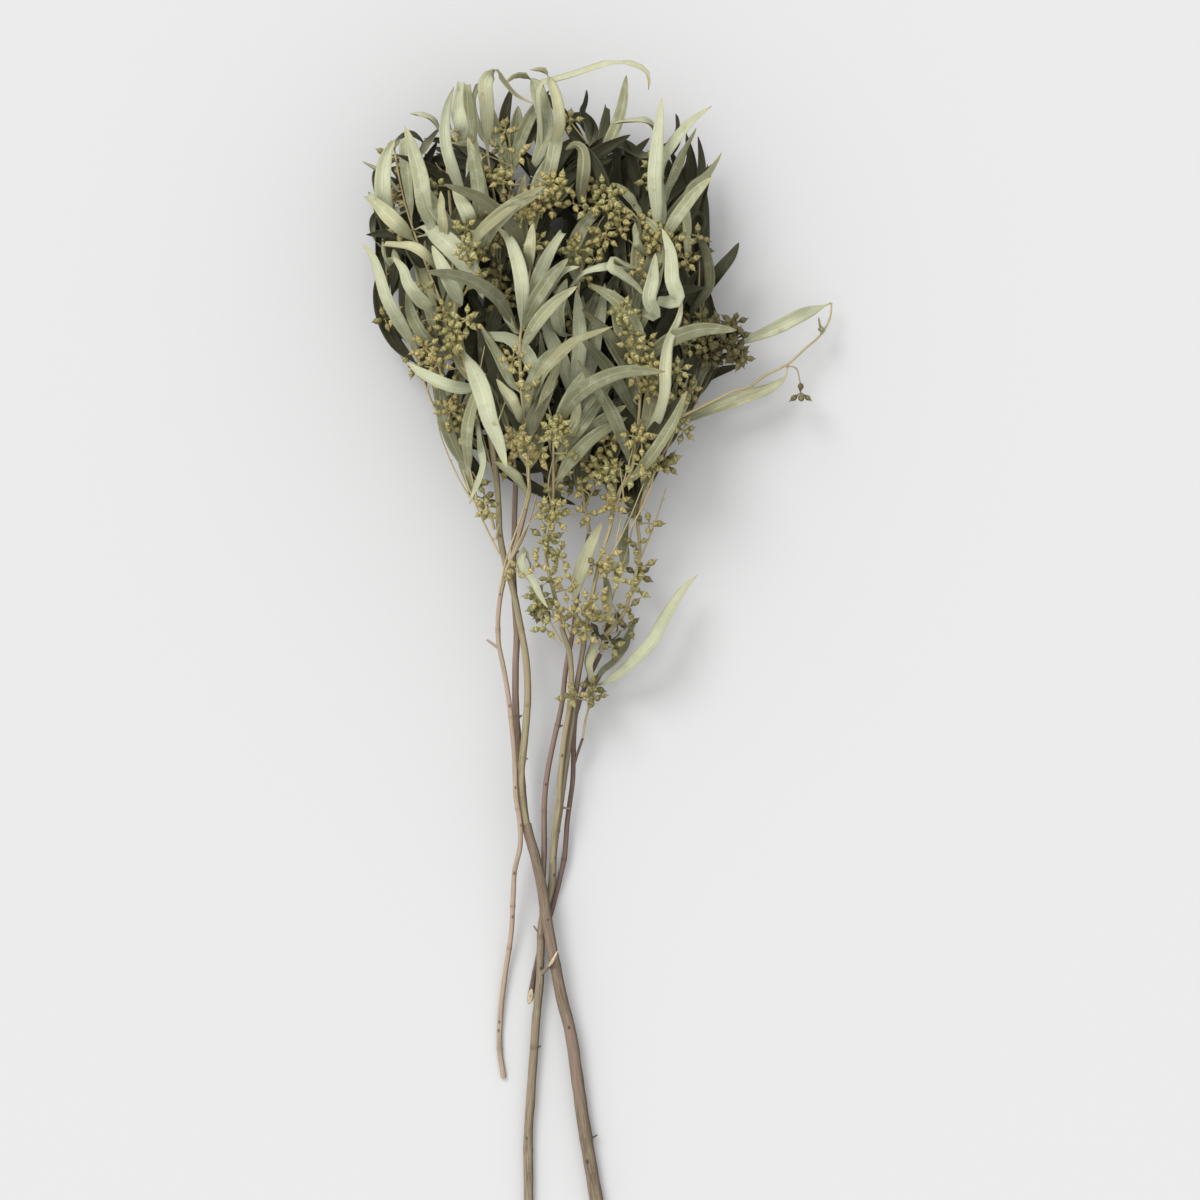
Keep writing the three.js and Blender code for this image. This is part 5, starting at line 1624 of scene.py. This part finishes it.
    def fold(self, line: Array, shares: Array) -> Array:
        """Extra turn of a leaf that arches right over: past the arch it shows its underside, nearly on edge.

        Args:
            line: points of its middle line.
            shares: their shares of its length.

        Returns:
            The extra turn at each point.
        """
        along = unit(np.gradient(line[:, :2], axis=0))
        half = 1 + int(np.argmin(np.abs(along[1:-1] @ along[3] - along[1:-1] @ along[-3])))
        return self.fold_turn * smooth((shares - shares[half] + 0.08) / 0.14)

    def faces(self) -> Faces:
        """Faces of the shell: the upper side, the lower side and the edges.

        Returns:
            The faces, as places of their points.
        """
        rows, columns = self.rows, self.columns
        low = rows * columns
        made = []
        for row in range(rows - 1):
            for column in range(columns - 1):
                here = row * columns + column
                made.append((here, here + 1, here + columns + 1, here + columns))
                made.append((low + here, low + here + columns, low + here + columns + 1, low + here + 1))
            left, right = row * columns, row * columns + columns - 1
            made.append((left, left + columns, low + left + columns, low + left))
            made.append((right, low + right, low + right + columns, right + columns))
        last = (rows - 1) * columns
        for column in range(columns - 1):
            made.append((column, low + column, low + column + 1, column + 1))
            made.append((last + column, last + column + 1, low + last + column + 1, low + last + column))
        return made


@dataclass
class SeedMaker:
    """Turns a seed head into its stalks and pointed cups."""

    draw: Draws
    # Outline of a cup: height above its base and radius, both in mm, from the stalk to the point
    outline: tuple[Pair, ...] = (
        (-1.4, 0.32), (-0.3, 0.46), (0.5, 0.92), (1.3, 1.46), (2.1, 1.8), (2.8, 1.9), (3.2, 1.8),
        (3.4, 1.86), (4.1, 1.5), (4.8, 0.95), (5.5, 0.48), (6.3, 0.22), (7.0, 0.06),
    )
    sides: int = 9
    # Faces around a stalk, and radius that makes a head full
    stalk_sides: int = 6
    full: float = 7.0
    # Sizes of the outer and of the inner cups, as shares of the outline
    outer_sizes: Pair = (0.86, 1.12)
    inner_sizes: Pair = (0.8, 1.0)
    # Way that the side of a cup with painted shade faces
    cup_shade_way: Way = (0.35, -0.3, -0.88)

    def directions(self, head: SeedHead) -> list[Array]:
        """Ways that the cups face: the corners of a cube turned so that one of them is the stalk.

        Args:
            head: the seed head.

        Returns:
            Unit vectors, without the stalk's own.
        """
        down = unit(head.anchor - head.centre(head.lift))
        start = unit(np.array([-1.0, -1.0, -1.0]))
        axis = np.cross(start, down)
        angle = math.atan2(float(np.linalg.norm(axis)), float(start @ down))
        axis = unit(axis) if np.linalg.norm(axis) > 1e-6 else np.array([1.0, -1.0, 0.0]) / math.sqrt(2)
        ways = []
        for corner in range(8):
            way = unit(np.array([1.0 if corner & bit else -1.0 for bit in (1, 2, 4)]))
            way = turned(way[None], axis[None], np.array([angle]))
            way = turned(way, down[None], np.array([head.spin]))[0]
            if float(way @ down) < 0.99 and not (head.radius < 5.5 and float(way @ down) > 0):
                ways.append(way)
        return ways

    def cup(self, draft: Draft, base: Array, way: Array, size: float, tint: Array) -> None:
        """Add one cup.

        Args:
            draft: the piece.
            base: where its stalk ends.
            way: the way it faces.
            size: scale of its outline.
            tint: its painted shade, then two random numbers.
        """
        outline = np.array(self.outline) * size
        line = base + way * outline[:, :1]
        points, faces, marks = tube(line, outline[:, 1], self.sides)
        share = marks[:, 1] / marks[:, 1].max()
        squash = 1 + 0.05 * np.sin(marks[:, 0] * 2 * np.pi * 4 + tint[2] * 9)
        middle = np.repeat(line, self.sides, axis=0)
        # Painted shade on the side of each cup that faces down and away from the window
        facing_shade = np.clip(0.5 + unit(points - middle) @ np.array(self.cup_shade_way), 0, 1.2)
        points = middle + (points - middle) * squash[:, None]
        tone_and_shade = np.clip(tint[0] + 0.7 * facing_shade, 0, 1)
        tint = np.column_stack([tone_and_shade, np.full(len(points), tint[1]), np.full(len(points), tint[2])])
        draft.add(points, faces, np.column_stack([marks[:, 0], share, np.zeros(len(points))]), tint)

    def stalk(self, draft: Draft, start: Array, end: Array, bow: Array, radii: Pair, tint: Array) -> None:
        """Add one bowed stalk.

        Args:
            draft: the piece.
            start: its foot.
            end: its top.
            bow: how far its middle is moved aside.
            radii: radius at the foot and at the top.
            tint: its painted shade, then two random numbers.
        """
        shares = np.linspace(0, 1, 5)
        line = start + (end - start) * shares[:, None] + bow * (4 * shares * (1 - shares))[:, None]
        points, faces, marks = tube(line, np.interp(shares, [0, 1], radii), self.stalk_sides)
        draft.add(points, faces, np.column_stack([marks[:, 0], marks[:, 1], np.ones(len(points))]), tint)

    def add(self, draft: Draft, head: SeedHead) -> None:
        """Add one seed head to a piece.

        Args:
            draft: the piece.
            head: the seed head.
        """
        draw = self.draw
        centre = head.centre(head.lift)
        # Painted shade: heads low in the pile, and heads right of the middle, go darker
        depth = max((40 - centre[2]) / 30, (centre[0] - 48) / 22 if centre[0] < 90 else 0.2)
        tint = np.array([np.clip(depth, 0, 0.9), draw(), draw()])
        bow = np.array([draw() - 0.5, draw() - 0.5, 0.4]) * 1.6
        self.stalk(draft, head.anchor, centre, bow, (0.55, 0.42), tint)
        for way in self.directions(head):
            facing = unit(way + np.array([draw() - 0.5, draw() - 0.5, draw() - 0.35]) * 0.35)
            size = draw.between(*self.outer_sizes)
            reach = max(2.9, head.radius + 3.4 - 7.0 * size + draw.between(-0.9, 0.9))
            base = centre + facing * reach
            # Painted shade on cups that face down
            shade_below = 0.4 * max(0.0, 0.35 - float(facing[2]))
            own = np.clip(tint + np.array([shade_below, (draw() - 0.5) * 0.6, 0]), 0, 0.95)
            self.stalk(draft, centre, base, np.zeros(3), (0.3, 0.42), own)
            self.cup(draft, base, facing, size, own)
        if head.radius >= self.full:
            self.inner(draft, head, centre, tint)

    def inner(self, draft: Draft, head: SeedHead, centre: Array, tint: Array) -> None:
        """Add the inner cups of a full head, nearer its middle and between the outer ones.

        Args:
            draft: the piece.
            head: the seed head.
            centre: its middle.
            tint: its painted shade, then two random numbers.
        """
        draw = self.draw
        for _ in range(int(head.radius) - 3):
            turn, tall = draw() * 2 * math.pi, draw.between(-0.1, 0.95)
            flat = math.sqrt(1 - tall * tall)
            facing = np.array([math.cos(turn) * flat, math.sin(turn) * flat, tall])
            base = centre + facing * draw.between(1.4, 3.4)
            self.stalk(draft, centre, base, np.zeros(3), (0.3, 0.4), tint)
            self.cup(draft, base, facing, draw.between(*self.inner_sizes), tint)


@dataclass
class StickMaker:
    """Turns twigs and stems into round sticks with nodes, scars and cut ends."""

    draw: Draws
    # Points along a stem to place an eye by, and faces around the small forms
    eye_steps: int = 400
    eye_sides: int = 10
    scar_sides: int = 8
    splinter_sides: int = 5
    # Side that gets painted shade: away from the window, and what faces down
    bark_shade_way: Way = (0.55, -0.3, -0.8)
    # Share of its radius that each ring of a closed end has, from the rim in
    end_levels: tuple[float, ...] = (1.0, 0.93, 0.6, 0.3, 0.02)

    def add(self, draft: Draft, twig: Twig, sides: int, pace: float, bark: int = 0, cuts: str = "",
            plane: tuple[Array, Array] | None = None) -> None:
        """Add one stick to a piece.

        Args:
            draft: the piece.
            twig: the stick.
            sides: faces around.
            pace: distance between rings in mm.
            bark: material slot of its bark. Cut wood is the slot 0 of a stem.
            cuts: which ends show cut wood: start, end or neither.
            plane: point and facing of a slanting cut at its start.
        """
        draw = self.draw
        curve = Curve(twig.line)
        rings = max(4, int(curve.length / pace))
        shares = np.linspace(0, 1, rings)
        line = curve.at(shares)
        places = distances(twig.line)
        radii = np.interp(shares, places / places[-1], twig.thickness) / 2
        run = shares * curve.length
        knots = self.knots(curve.length, float(radii[0]))
        near = np.zeros(rings)
        for knot in knots:
            near = np.maximum(near, np.exp(-((run - knot) ** 2) / (2 * (0.6 + radii * 0.4) ** 2)))
        points, faces, marks = tube(line, radii * (1 + near * np.where(radii > 1.6, 0.035, 0.12)), sides)
        middle = np.repeat(line, sides, axis=0)
        facing = unit(points - middle)
        bumps = [noise.noise((x * 0.25, y * 0.09, z * 0.25 + twig.thickness[0])) for x, y, z in points]
        points = middle + (points - middle) * (1 + 0.09 * np.array(bumps)[:, None])
        # Painted shade on the side away from the window and underneath
        wear_and_shade = np.clip(facing @ np.array(self.bark_shade_way) + 0.55, 0, 1)
        tint = np.column_stack([wear_and_shade, np.full((len(points), 2), draw())])
        if plane:
            point, outward = plane
            inward = unit(line[1] - line[0])
            over = np.maximum((points - point) @ outward, 0)
            points = points - inward * (over / float(inward @ outward))[:, None]
        draft.add(points, faces, np.column_stack([marks, np.repeat(near, sides)]), tint, bark)
        for knot in knots:
            self.scar(draft, curve, knot, float(np.interp(knot, run, radii)), bark)
        self.end(draft, points[:sides][::-1], 0 if cuts == "start" else bark)
        self.end(draft, points[-sides:], 0 if cuts == "end" else bark)

    def knots(self, length: float, radius: float) -> list[float]:
        """Places of the nodes along a stick.

        Args:
            length: its length in mm.
            radius: its first radius in mm.

        Returns:
            Distances from its start in mm.
        """
        pace = 26 + radius * 11
        places, at = [], pace * self.draw.between(0.3, 0.9)
        while at < length - 4:
            places.append(at)
            at += pace * self.draw.between(0.45, 1.6)
        return places

    def scar(self, draft: Draft, curve: Curve, place: float, radius: float, bark: int) -> None:
        """Add what a lost leaf or twig leaves at a node: a low dark bump, or now and then a short stub.

        Args:
            draft: the piece.
            curve: the stick's middle line.
            place: distance of the node in mm.
            radius: the stick's radius there.
            bark: material slot of its bark.
        """
        draw = self.draw
        shares = np.clip(np.array([place - 0.5, place + 0.5]) / curve.length, 0, 1)
        first, second = curve.at(shares)
        along = unit(second - first)
        aside = unit(np.cross(along, np.array([draw() - 0.5, draw() - 0.5, 0.2 + draw()])))
        stub = draw() < 0.22
        way = unit(aside + along * (draw.between(0.4, 1.2) if stub else 0.35))
        steps = np.array([0.0, 0.45, 0.8, 1.0])
        if stub:
            length, thick = radius * 0.6 + draw.between(0.6, 2.2), min(0.6, radius * 0.4)
            outline = thick * np.array([1.4, 1.0, 0.8, 0.35])
        else:
            length, thick = radius * 0.24 + 0.2, min(1.0, radius * 0.5)
            outline = thick * np.array([1.15, 1.0, 0.7, 0.15])
        line = first + aside * radius * 0.82 + way * (steps * length)[:, None]
        points, faces, marks = tube(line, outline, self.scar_sides)
        marks = np.column_stack([marks, np.linspace(0.55, 1.0, len(points))])
        draft.add(points, faces, marks, np.array([0.4, draw(), draw()]), bark)

    def eye(self, draft: Draft, twigs: list[Twig], row: Row, barks: int) -> None:
        """Add the dark oval eye of a lost twig on the upper side of a stem.

        Args:
            draft: the piece.
            twigs: lines of the stem.
            row: x, y and half the length of the eye, in mm.
            barks: number of barks of the stem.
        """
        draw = self.draw
        spot = np.array(row[:2])
        lines = [Curve(twig.line).at(np.linspace(0, 1, self.eye_steps)) for twig in twigs]
        away = [np.linalg.norm(line[1:-1, :2] - spot, axis=1).min() for line in lines]
        owner = int(np.argmin(away))
        line = lines[owner]
        at = 1 + int(np.linalg.norm(line[1:-1, :2] - spot, axis=1).argmin())
        along = unit(line[at + 1] - line[at - 1])
        thickness = twigs[owner].thickness
        radius = float(np.interp(at / self.eye_steps, np.linspace(0, 1, len(thickness)), thickness)) / 2
        outward = np.array([*(np.clip(spot - line[at, :2], -radius, radius) * 0.6 / radius), 1.0])
        outward = unit(outward - along * float(outward @ along))
        wide = min(row[2] * 0.6, radius * 0.8)
        steps = np.array([-0.5, 0.12, 0.2, 0.12, 0.02])[:, None]
        axis = line[at] + outward * (radius + steps)
        points, faces, marks = tube(axis, wide * np.array([1.2, 1.0, 0.8, 0.5, 0.05]), self.eye_sides)
        middle = np.repeat(axis, self.eye_sides, axis=0)
        points = points + along * ((points - middle) @ along)[:, None] * (row[2] / wide - 1)
        dark = np.repeat([0.3, 0.35, 0.9, 1.5, 1.5], self.eye_sides)
        tint = np.column_stack([dark, np.full((len(points), 2), draw())])
        marks = np.column_stack([marks, np.repeat(0.5, len(points))])
        draft.add(points, faces, marks, tint, 1 + min(owner, barks - 1))

    def end(self, draft: Draft, ring: Array, slot: int) -> None:
        """Close one end with a slightly bevelled edge and a flat face.

        Args:
            draft: the piece.
            ring: points of its last ring, in order round the outward side.
            slot: material slot of the face.
        """
        middle = ring.mean(axis=0)
        sides = len(ring)
        levels = self.end_levels
        points = np.vstack([middle + (ring - middle) * level for level in levels])
        around = np.tile(np.arange(sides) / sides, len(levels))
        marks = np.column_stack([around, np.repeat(levels, sides), np.zeros(len(points))])
        draft.add(points, bands(len(levels), sides), marks, np.array([0.3, 0.5, 0.5]), slot)

    def splinters(self, draft: Draft, foot: Array, way: Array, count: int) -> None:
        """Add the torn pale fibres of a broken end.

        Args:
            draft: the piece.
            foot: middle of the broken end.
            way: the way the stub points.
            count: how many.
        """
        draw = self.draw
        for number in range(count):
            lean = unit(way + (np.array([draw(), draw(), draw()]) - 0.5) * 0.5)
            length = 11.0 if number == 0 else draw.between(2.5, 6)
            start = foot + (np.array([draw(), draw(), draw()]) - 0.5) * 1.2 - way * 1.5
            steps = np.array([0.0, 0.3, 0.7, 1.0])
            width = 1.0 if number == 0 else 0.55
            radii = width * np.array([1, 0.9, 0.6, 0.08])
            line = start + lean * (steps * length)[:, None]
            points, faces, marks = tube(line, radii, self.splinter_sides)
            share = marks[:, 1] / marks[:, 1].max() * 0.5 + 0.3
            draft.add(points, faces, np.column_stack([marks[:, 0], share, marks[:, 0]]), np.full(3, 0.5), 0)


@dataclass
class Spray:
    """Everything that one leafy shoot carries."""

    name: str
    twigs: list[Twig]
    heads: list[SeedHead] = field(default_factory=list)
    leaves: list[Leaf] = field(default_factory=list)
    stalks: list[Twig] = field(default_factory=list)


class Bunch:
    """The four loose branches, lying in a pile."""

    CAD_SEED = 7
    FILL_SEED = 11
    # Further seed heads, leaves, leaves at the bottom of the pile and bare stalks of each spray
    FILLING = {"left": (16, 14, 26, 8), "side": (14, 12, 24, 9), "back": (18, 24, 44, 8),
               "crown": (12, 14, 44, 4), "star": (16, 12, 24, 6), "centre": (26, 20, 60, 9),
               "column": (34, 20, 44, 10), "right": (36, 24, 40, 12), "low": (3, 0, 0, 4)}
    BED_HEIGHTS = (4.0, 34.0)
    # Angles, lengths and bends of the leaves that fill the head, and how far up their tips may reach
    HANGING = ((0.05, 0.6), (48, 80), 1.7)
    TOPMOST = 280.0
    BED_TOPMOST = 306.0
    # Leaves of the tables whose tips bend under, by their places there
    CURLED = {"left": (0, 1, 8, 9, 11, 17), "back": (1, 3), "crown": (5,), "centre": (9,), "column": (0,),
              "star": (0,), "right": (2, 3)}
    # Leaves of the tables that arch right over
    FOLDED = {"back": (0,), "crown": (1, 2), "centre": (6,)}
    SLANT_POINT = np.array([-42.6, -217.5, 1.6])
    SLANT_FACING = np.array([-0.07, -0.3, 0.95])
    # Torn fibres of the broken stub, and the way that they lean, in mm
    SPLINTERS = 5
    SPLINTER_LEAN = np.array([2, 4, 0])
    # Faces around a stem that is thicker than this, in mm, and around the others
    THICK, THICK_SIDES, THIN_SIDES = 2.6, 20, 12
    # Distance between rings of a stem, and faces, ring distance and share of the thickness of a green twig
    STEM_PACE = 1.8
    TWIG_SIDES, TWIG_PACE, TWIG_SHARE = 8, 1.6, 0.85
    SLOTS = {"stem_right": "bark_tan", "stem_centre": "bark_olive", "stem_left": "bark_olive",
             "stem_slanted": "bark_plum"}
    BARKS = {"stem_right": ("tan", "straw", "rose"), "stem_left": ("sand",), "stem_slanted": ("plum",),
             "stem_centre": ("olive", "olive", "olive", "straw", "rose", "rose")}

    def __init__(self) -> None:
        """Read the tables and settle every leaf and seed head at a free height."""
        self.stems = {name: [Twig.from_row(row) for row in rows] for name, rows in STEMS.items()}
        twigs = {name: [Twig.from_row(row) for row in rows] for name, rows in TWIGS.items()}
        self.sprays = {name: Spray(name, lines) for name, lines in twigs.items()}
        self.clearing = Clearing()
        for owner, lines in {**self.stems, **twigs}.items():
            for twig in lines:
                self.clearing.add(twig.spots(), owner)
        draw = Draws(self.CAD_SEED)
        for name, rows in SEED_HEADS.items():
            for row in rows:
                self.hang(self.sprays[name], SeedHead.from_row(twigs[name], row, draw))
        for name, rows in LEAVES.items():
            for at, row in enumerate(rows):
                leaf = Leaf.from_row(twigs[name], row, draw)
                leaf.curled = at in self.CURLED.get(name, ())
                leaf.folded = at in self.FOLDED.get(name, ())
                # Painted shade: the right spray's leaves darker, leaves short of the dense head lighter
                leaf.age = 0.45 if name == "right" else -0.6 if row[3] < THICKET else 0.0
                self.hang(self.sprays[name], leaf)
        for name, count in DEEP_LEAVES.items():
            self.fill_leaves(self.sprays[name], count, draw)
        self.fill()

    def hang(self, spray: Spray, piece: Leaf | SeedHead) -> bool:
        """Settle one leaf or seed head on its spray.

        Args:
            spray: its spray.
            piece: the leaf or seed head.

        Returns:
            Whether a free height was found.
        """
        lift = self.clearing.settle(piece.spots, piece.lifts(), spray.name)
        if lift is None:
            return False
        piece.lift = lift
        kept = spray.leaves if isinstance(piece, Leaf) else spray.heads
        kept.append(piece)
        return True

    def fill_leaves(self, spray: Spray, count: int, draw: Draws, bed: bool = False,
                    shape: tuple = ()) -> None:
        """Add leaves deep in a spray.

        Args:
            spray: the spray.
            count: how many are wanted.
            draw: the draw of their shapes.
            bed: whether they sink to the bottom of the pile.
            shape: angles, lengths and bends, where they aren't those of the CAD part.
        """
        made = 0
        for _ in range(count * 12):
            if made == count:
                break
            height = draw.between(*self.BED_HEIGHTS) if bed else None
            leaf, fits = Leaf.deep(spray.twigs, draw, height, *shape)
            # Painted shade: leaves at the bottom of the pile darker, the part's own deep leaves lighter
            leaf.age = 0.15 if bed else 0.0 if shape else -0.18
            most = self.BED_TOPMOST if bed else self.TOPMOST if shape else math.inf
            low = float(leaf.plan.at(np.ones(1))[0, 1]) < most
            made += fits and low and self.hang(spray, leaf)

    def fill(self) -> None:
        """Add the small seed heads, deep leaves and bare stalks that thicken the head."""
        draw = Draws(self.FILL_SEED)
        for name, (count, *_) in self.FILLING.items():
            spray, made = self.sprays[name], 0
            for _ in range(count * 10):
                head = SeedHead.beside(spray.twigs, draw)
                if made < count and inside(head.x, head.y) and (head.y > THICKET or draw() < 0.25):
                    made += self.hang(spray, head)
        for bed in (False, True):
            for name, counts in self.FILLING.items():
                self.fill_leaves(self.sprays[name], counts[1 + bed], draw, bed, self.HANGING)
        for name, (*_, count) in self.FILLING.items():
            spray = self.sprays[name]
            bare = [Twig.bare(spray.twigs, draw) for _ in range(count)]
            spray.stalks = [twig for twig in bare if all(inside(x, y) for x, y in twig.line[:, :2])]
            spray.stalks += [Twig.traced(spray.twigs, row) for row in STALKS.get(name, [])]

    def build(self, finishes: Finishes) -> None:
        """Make all the pieces.

        Args:
            finishes: the materials.
        """
        for name, twigs in self.stems.items():
            self.stem(name, twigs, finishes)
        for spray in self.sprays.values():
            draw = Draws(sum(map(ord, spray.name)))
            leaves, heads, sticks = Draft(), Draft(), Draft()
            for leaf in spray.leaves:
                LeafMaker(draw).add(leaves, leaf)
            for head in spray.heads:
                SeedMaker(draw).add(heads, head)
            for twig in spray.twigs + spray.stalks:
                slim = Twig(twig.line, np.array(twig.thickness) * self.TWIG_SHARE)
                StickMaker(draw).add(sticks, slim, self.TWIG_SIDES, self.TWIG_PACE)
            node = [f"spray_{spray.name}"]
            dressed(leaves.build(f"leaves_{spray.name}", [finishes.leaf]), node)
            if spray.heads:
                dressed(heads.build(f"seeds_{spray.name}", [finishes.seed]), node)
            dressed(sticks.build(f"twigs_{spray.name}", [finishes.twig]), node)

    def stem(self, name: str, twigs: list[Twig], finishes: Finishes) -> None:
        """Make one bare stem with its forks and stubs.

        Args:
            name: its CAD node.
            twigs: its lines, the main one first.
            finishes: the materials.
        """
        draft, maker = Draft(), StickMaker(Draws(len(name)))
        barks = self.BARKS[name]
        for at, twig in enumerate(twigs):
            bark = 1 + min(at, len(barks) - 1)
            slanted = name == "stem_slanted" and at == 0
            plane = (self.SLANT_POINT, unit(self.SLANT_FACING)) if slanted else None
            if name == "stem_centre" and at == 1:
                twig = Twig(twig.line[:3], twig.thickness[:3])
                way = unit(twig.line[-1] - twig.line[-2] + self.SPLINTER_LEAN)
                maker.splinters(draft, twig.line[-1], way, self.SPLINTERS)
            sides = self.THICK_SIDES if twig.thickness[0] > self.THICK else self.THIN_SIDES
            maker.add(draft, twig, sides, self.STEM_PACE, bark, "start" if at == 0 else "end", plane)
        for row in EYES.get(name, []):
            maker.eye(draft, twigs, row, len(barks))
        skins = [finishes.cut] + [getattr(finishes, skin) for skin in barks]
        dressed(draft.build(f"bark_{name}", skins), [name])


@dataclass
class Studio:
    """Pale surface, soft light from the upper left and the camera straight above."""

    surface: float = 4.0
    camera_height: float = 3.0
    camera_reach: float = 20.0
    aim: Pair = (0.0005, 0.0245)
    lens: float = 147.25
    sensor: float = 36.0
    sky: float = 0.98
    window: Way = (-0.62, 0.75, 1.0)
    window_spread: float = 0.5
    window_power: float = 1.65

    def light(self, name: str, place: Way, spread: float, power: float) -> None:
        """Add one distant soft light, which shines on the middle.

        Args:
            name: its name.
            place: where it comes from, in metres.
            spread: how wide it looks, in radians.
            power: its power.
        """
        data = bpy.data.lights.new(name, "SUN")
        data.angle, data.energy = spread, power
        lamp = bpy.data.objects.new(name, data)
        lamp.location = place
        lamp.rotation_euler = (-Vector(place)).to_track_quat("-Z", "Y").to_euler()
        bpy.context.scene.collection.objects.link(lamp)

    def build(self) -> None:
        """Make the surface, the lights and the camera."""
        half = self.surface / 2
        mesh = bpy.data.meshes.new("surface")
        corners = [(-half, -half, 0), (half, -half, 0), (half, half, 0), (-half, half, 0)]
        mesh.from_pydata(corners, [], [(0, 1, 2, 3)])
        mesh.materials.append(PaperFinish().material())
        floor = bpy.data.objects.new("surface", mesh)
        scene = bpy.context.scene
        scene.collection.objects.link(floor)
        world = bpy.data.worlds.new("studio")
        world.use_nodes = True
        sockets = world.node_tree.nodes["Background"].inputs
        sockets["Color"].default_value = (1.0, 1.0, 1.0, 1.0)
        sockets["Strength"].default_value = self.sky
        scene.world = world
        self.light("window", self.window, self.window_spread, self.window_power)
        data = bpy.data.cameras.new("camera")
        data.lens, data.sensor_width, data.clip_end = self.lens, self.sensor, self.camera_reach
        camera = bpy.data.objects.new("camera", data)
        camera.location = (*self.aim, self.camera_height)
        scene.collection.objects.link(camera)
        scene.camera = camera
        scene.view_settings.view_transform = "Standard"
        scene.view_settings.look = "None"


def main() -> None:
    """Build the bunch and the studio, logging each piece's face count."""
    logging.basicConfig(level=logging.INFO, format="%(message)s")
    Bunch().build(Finishes())
    Studio().build()


if __name__ == "__main__":
    main()
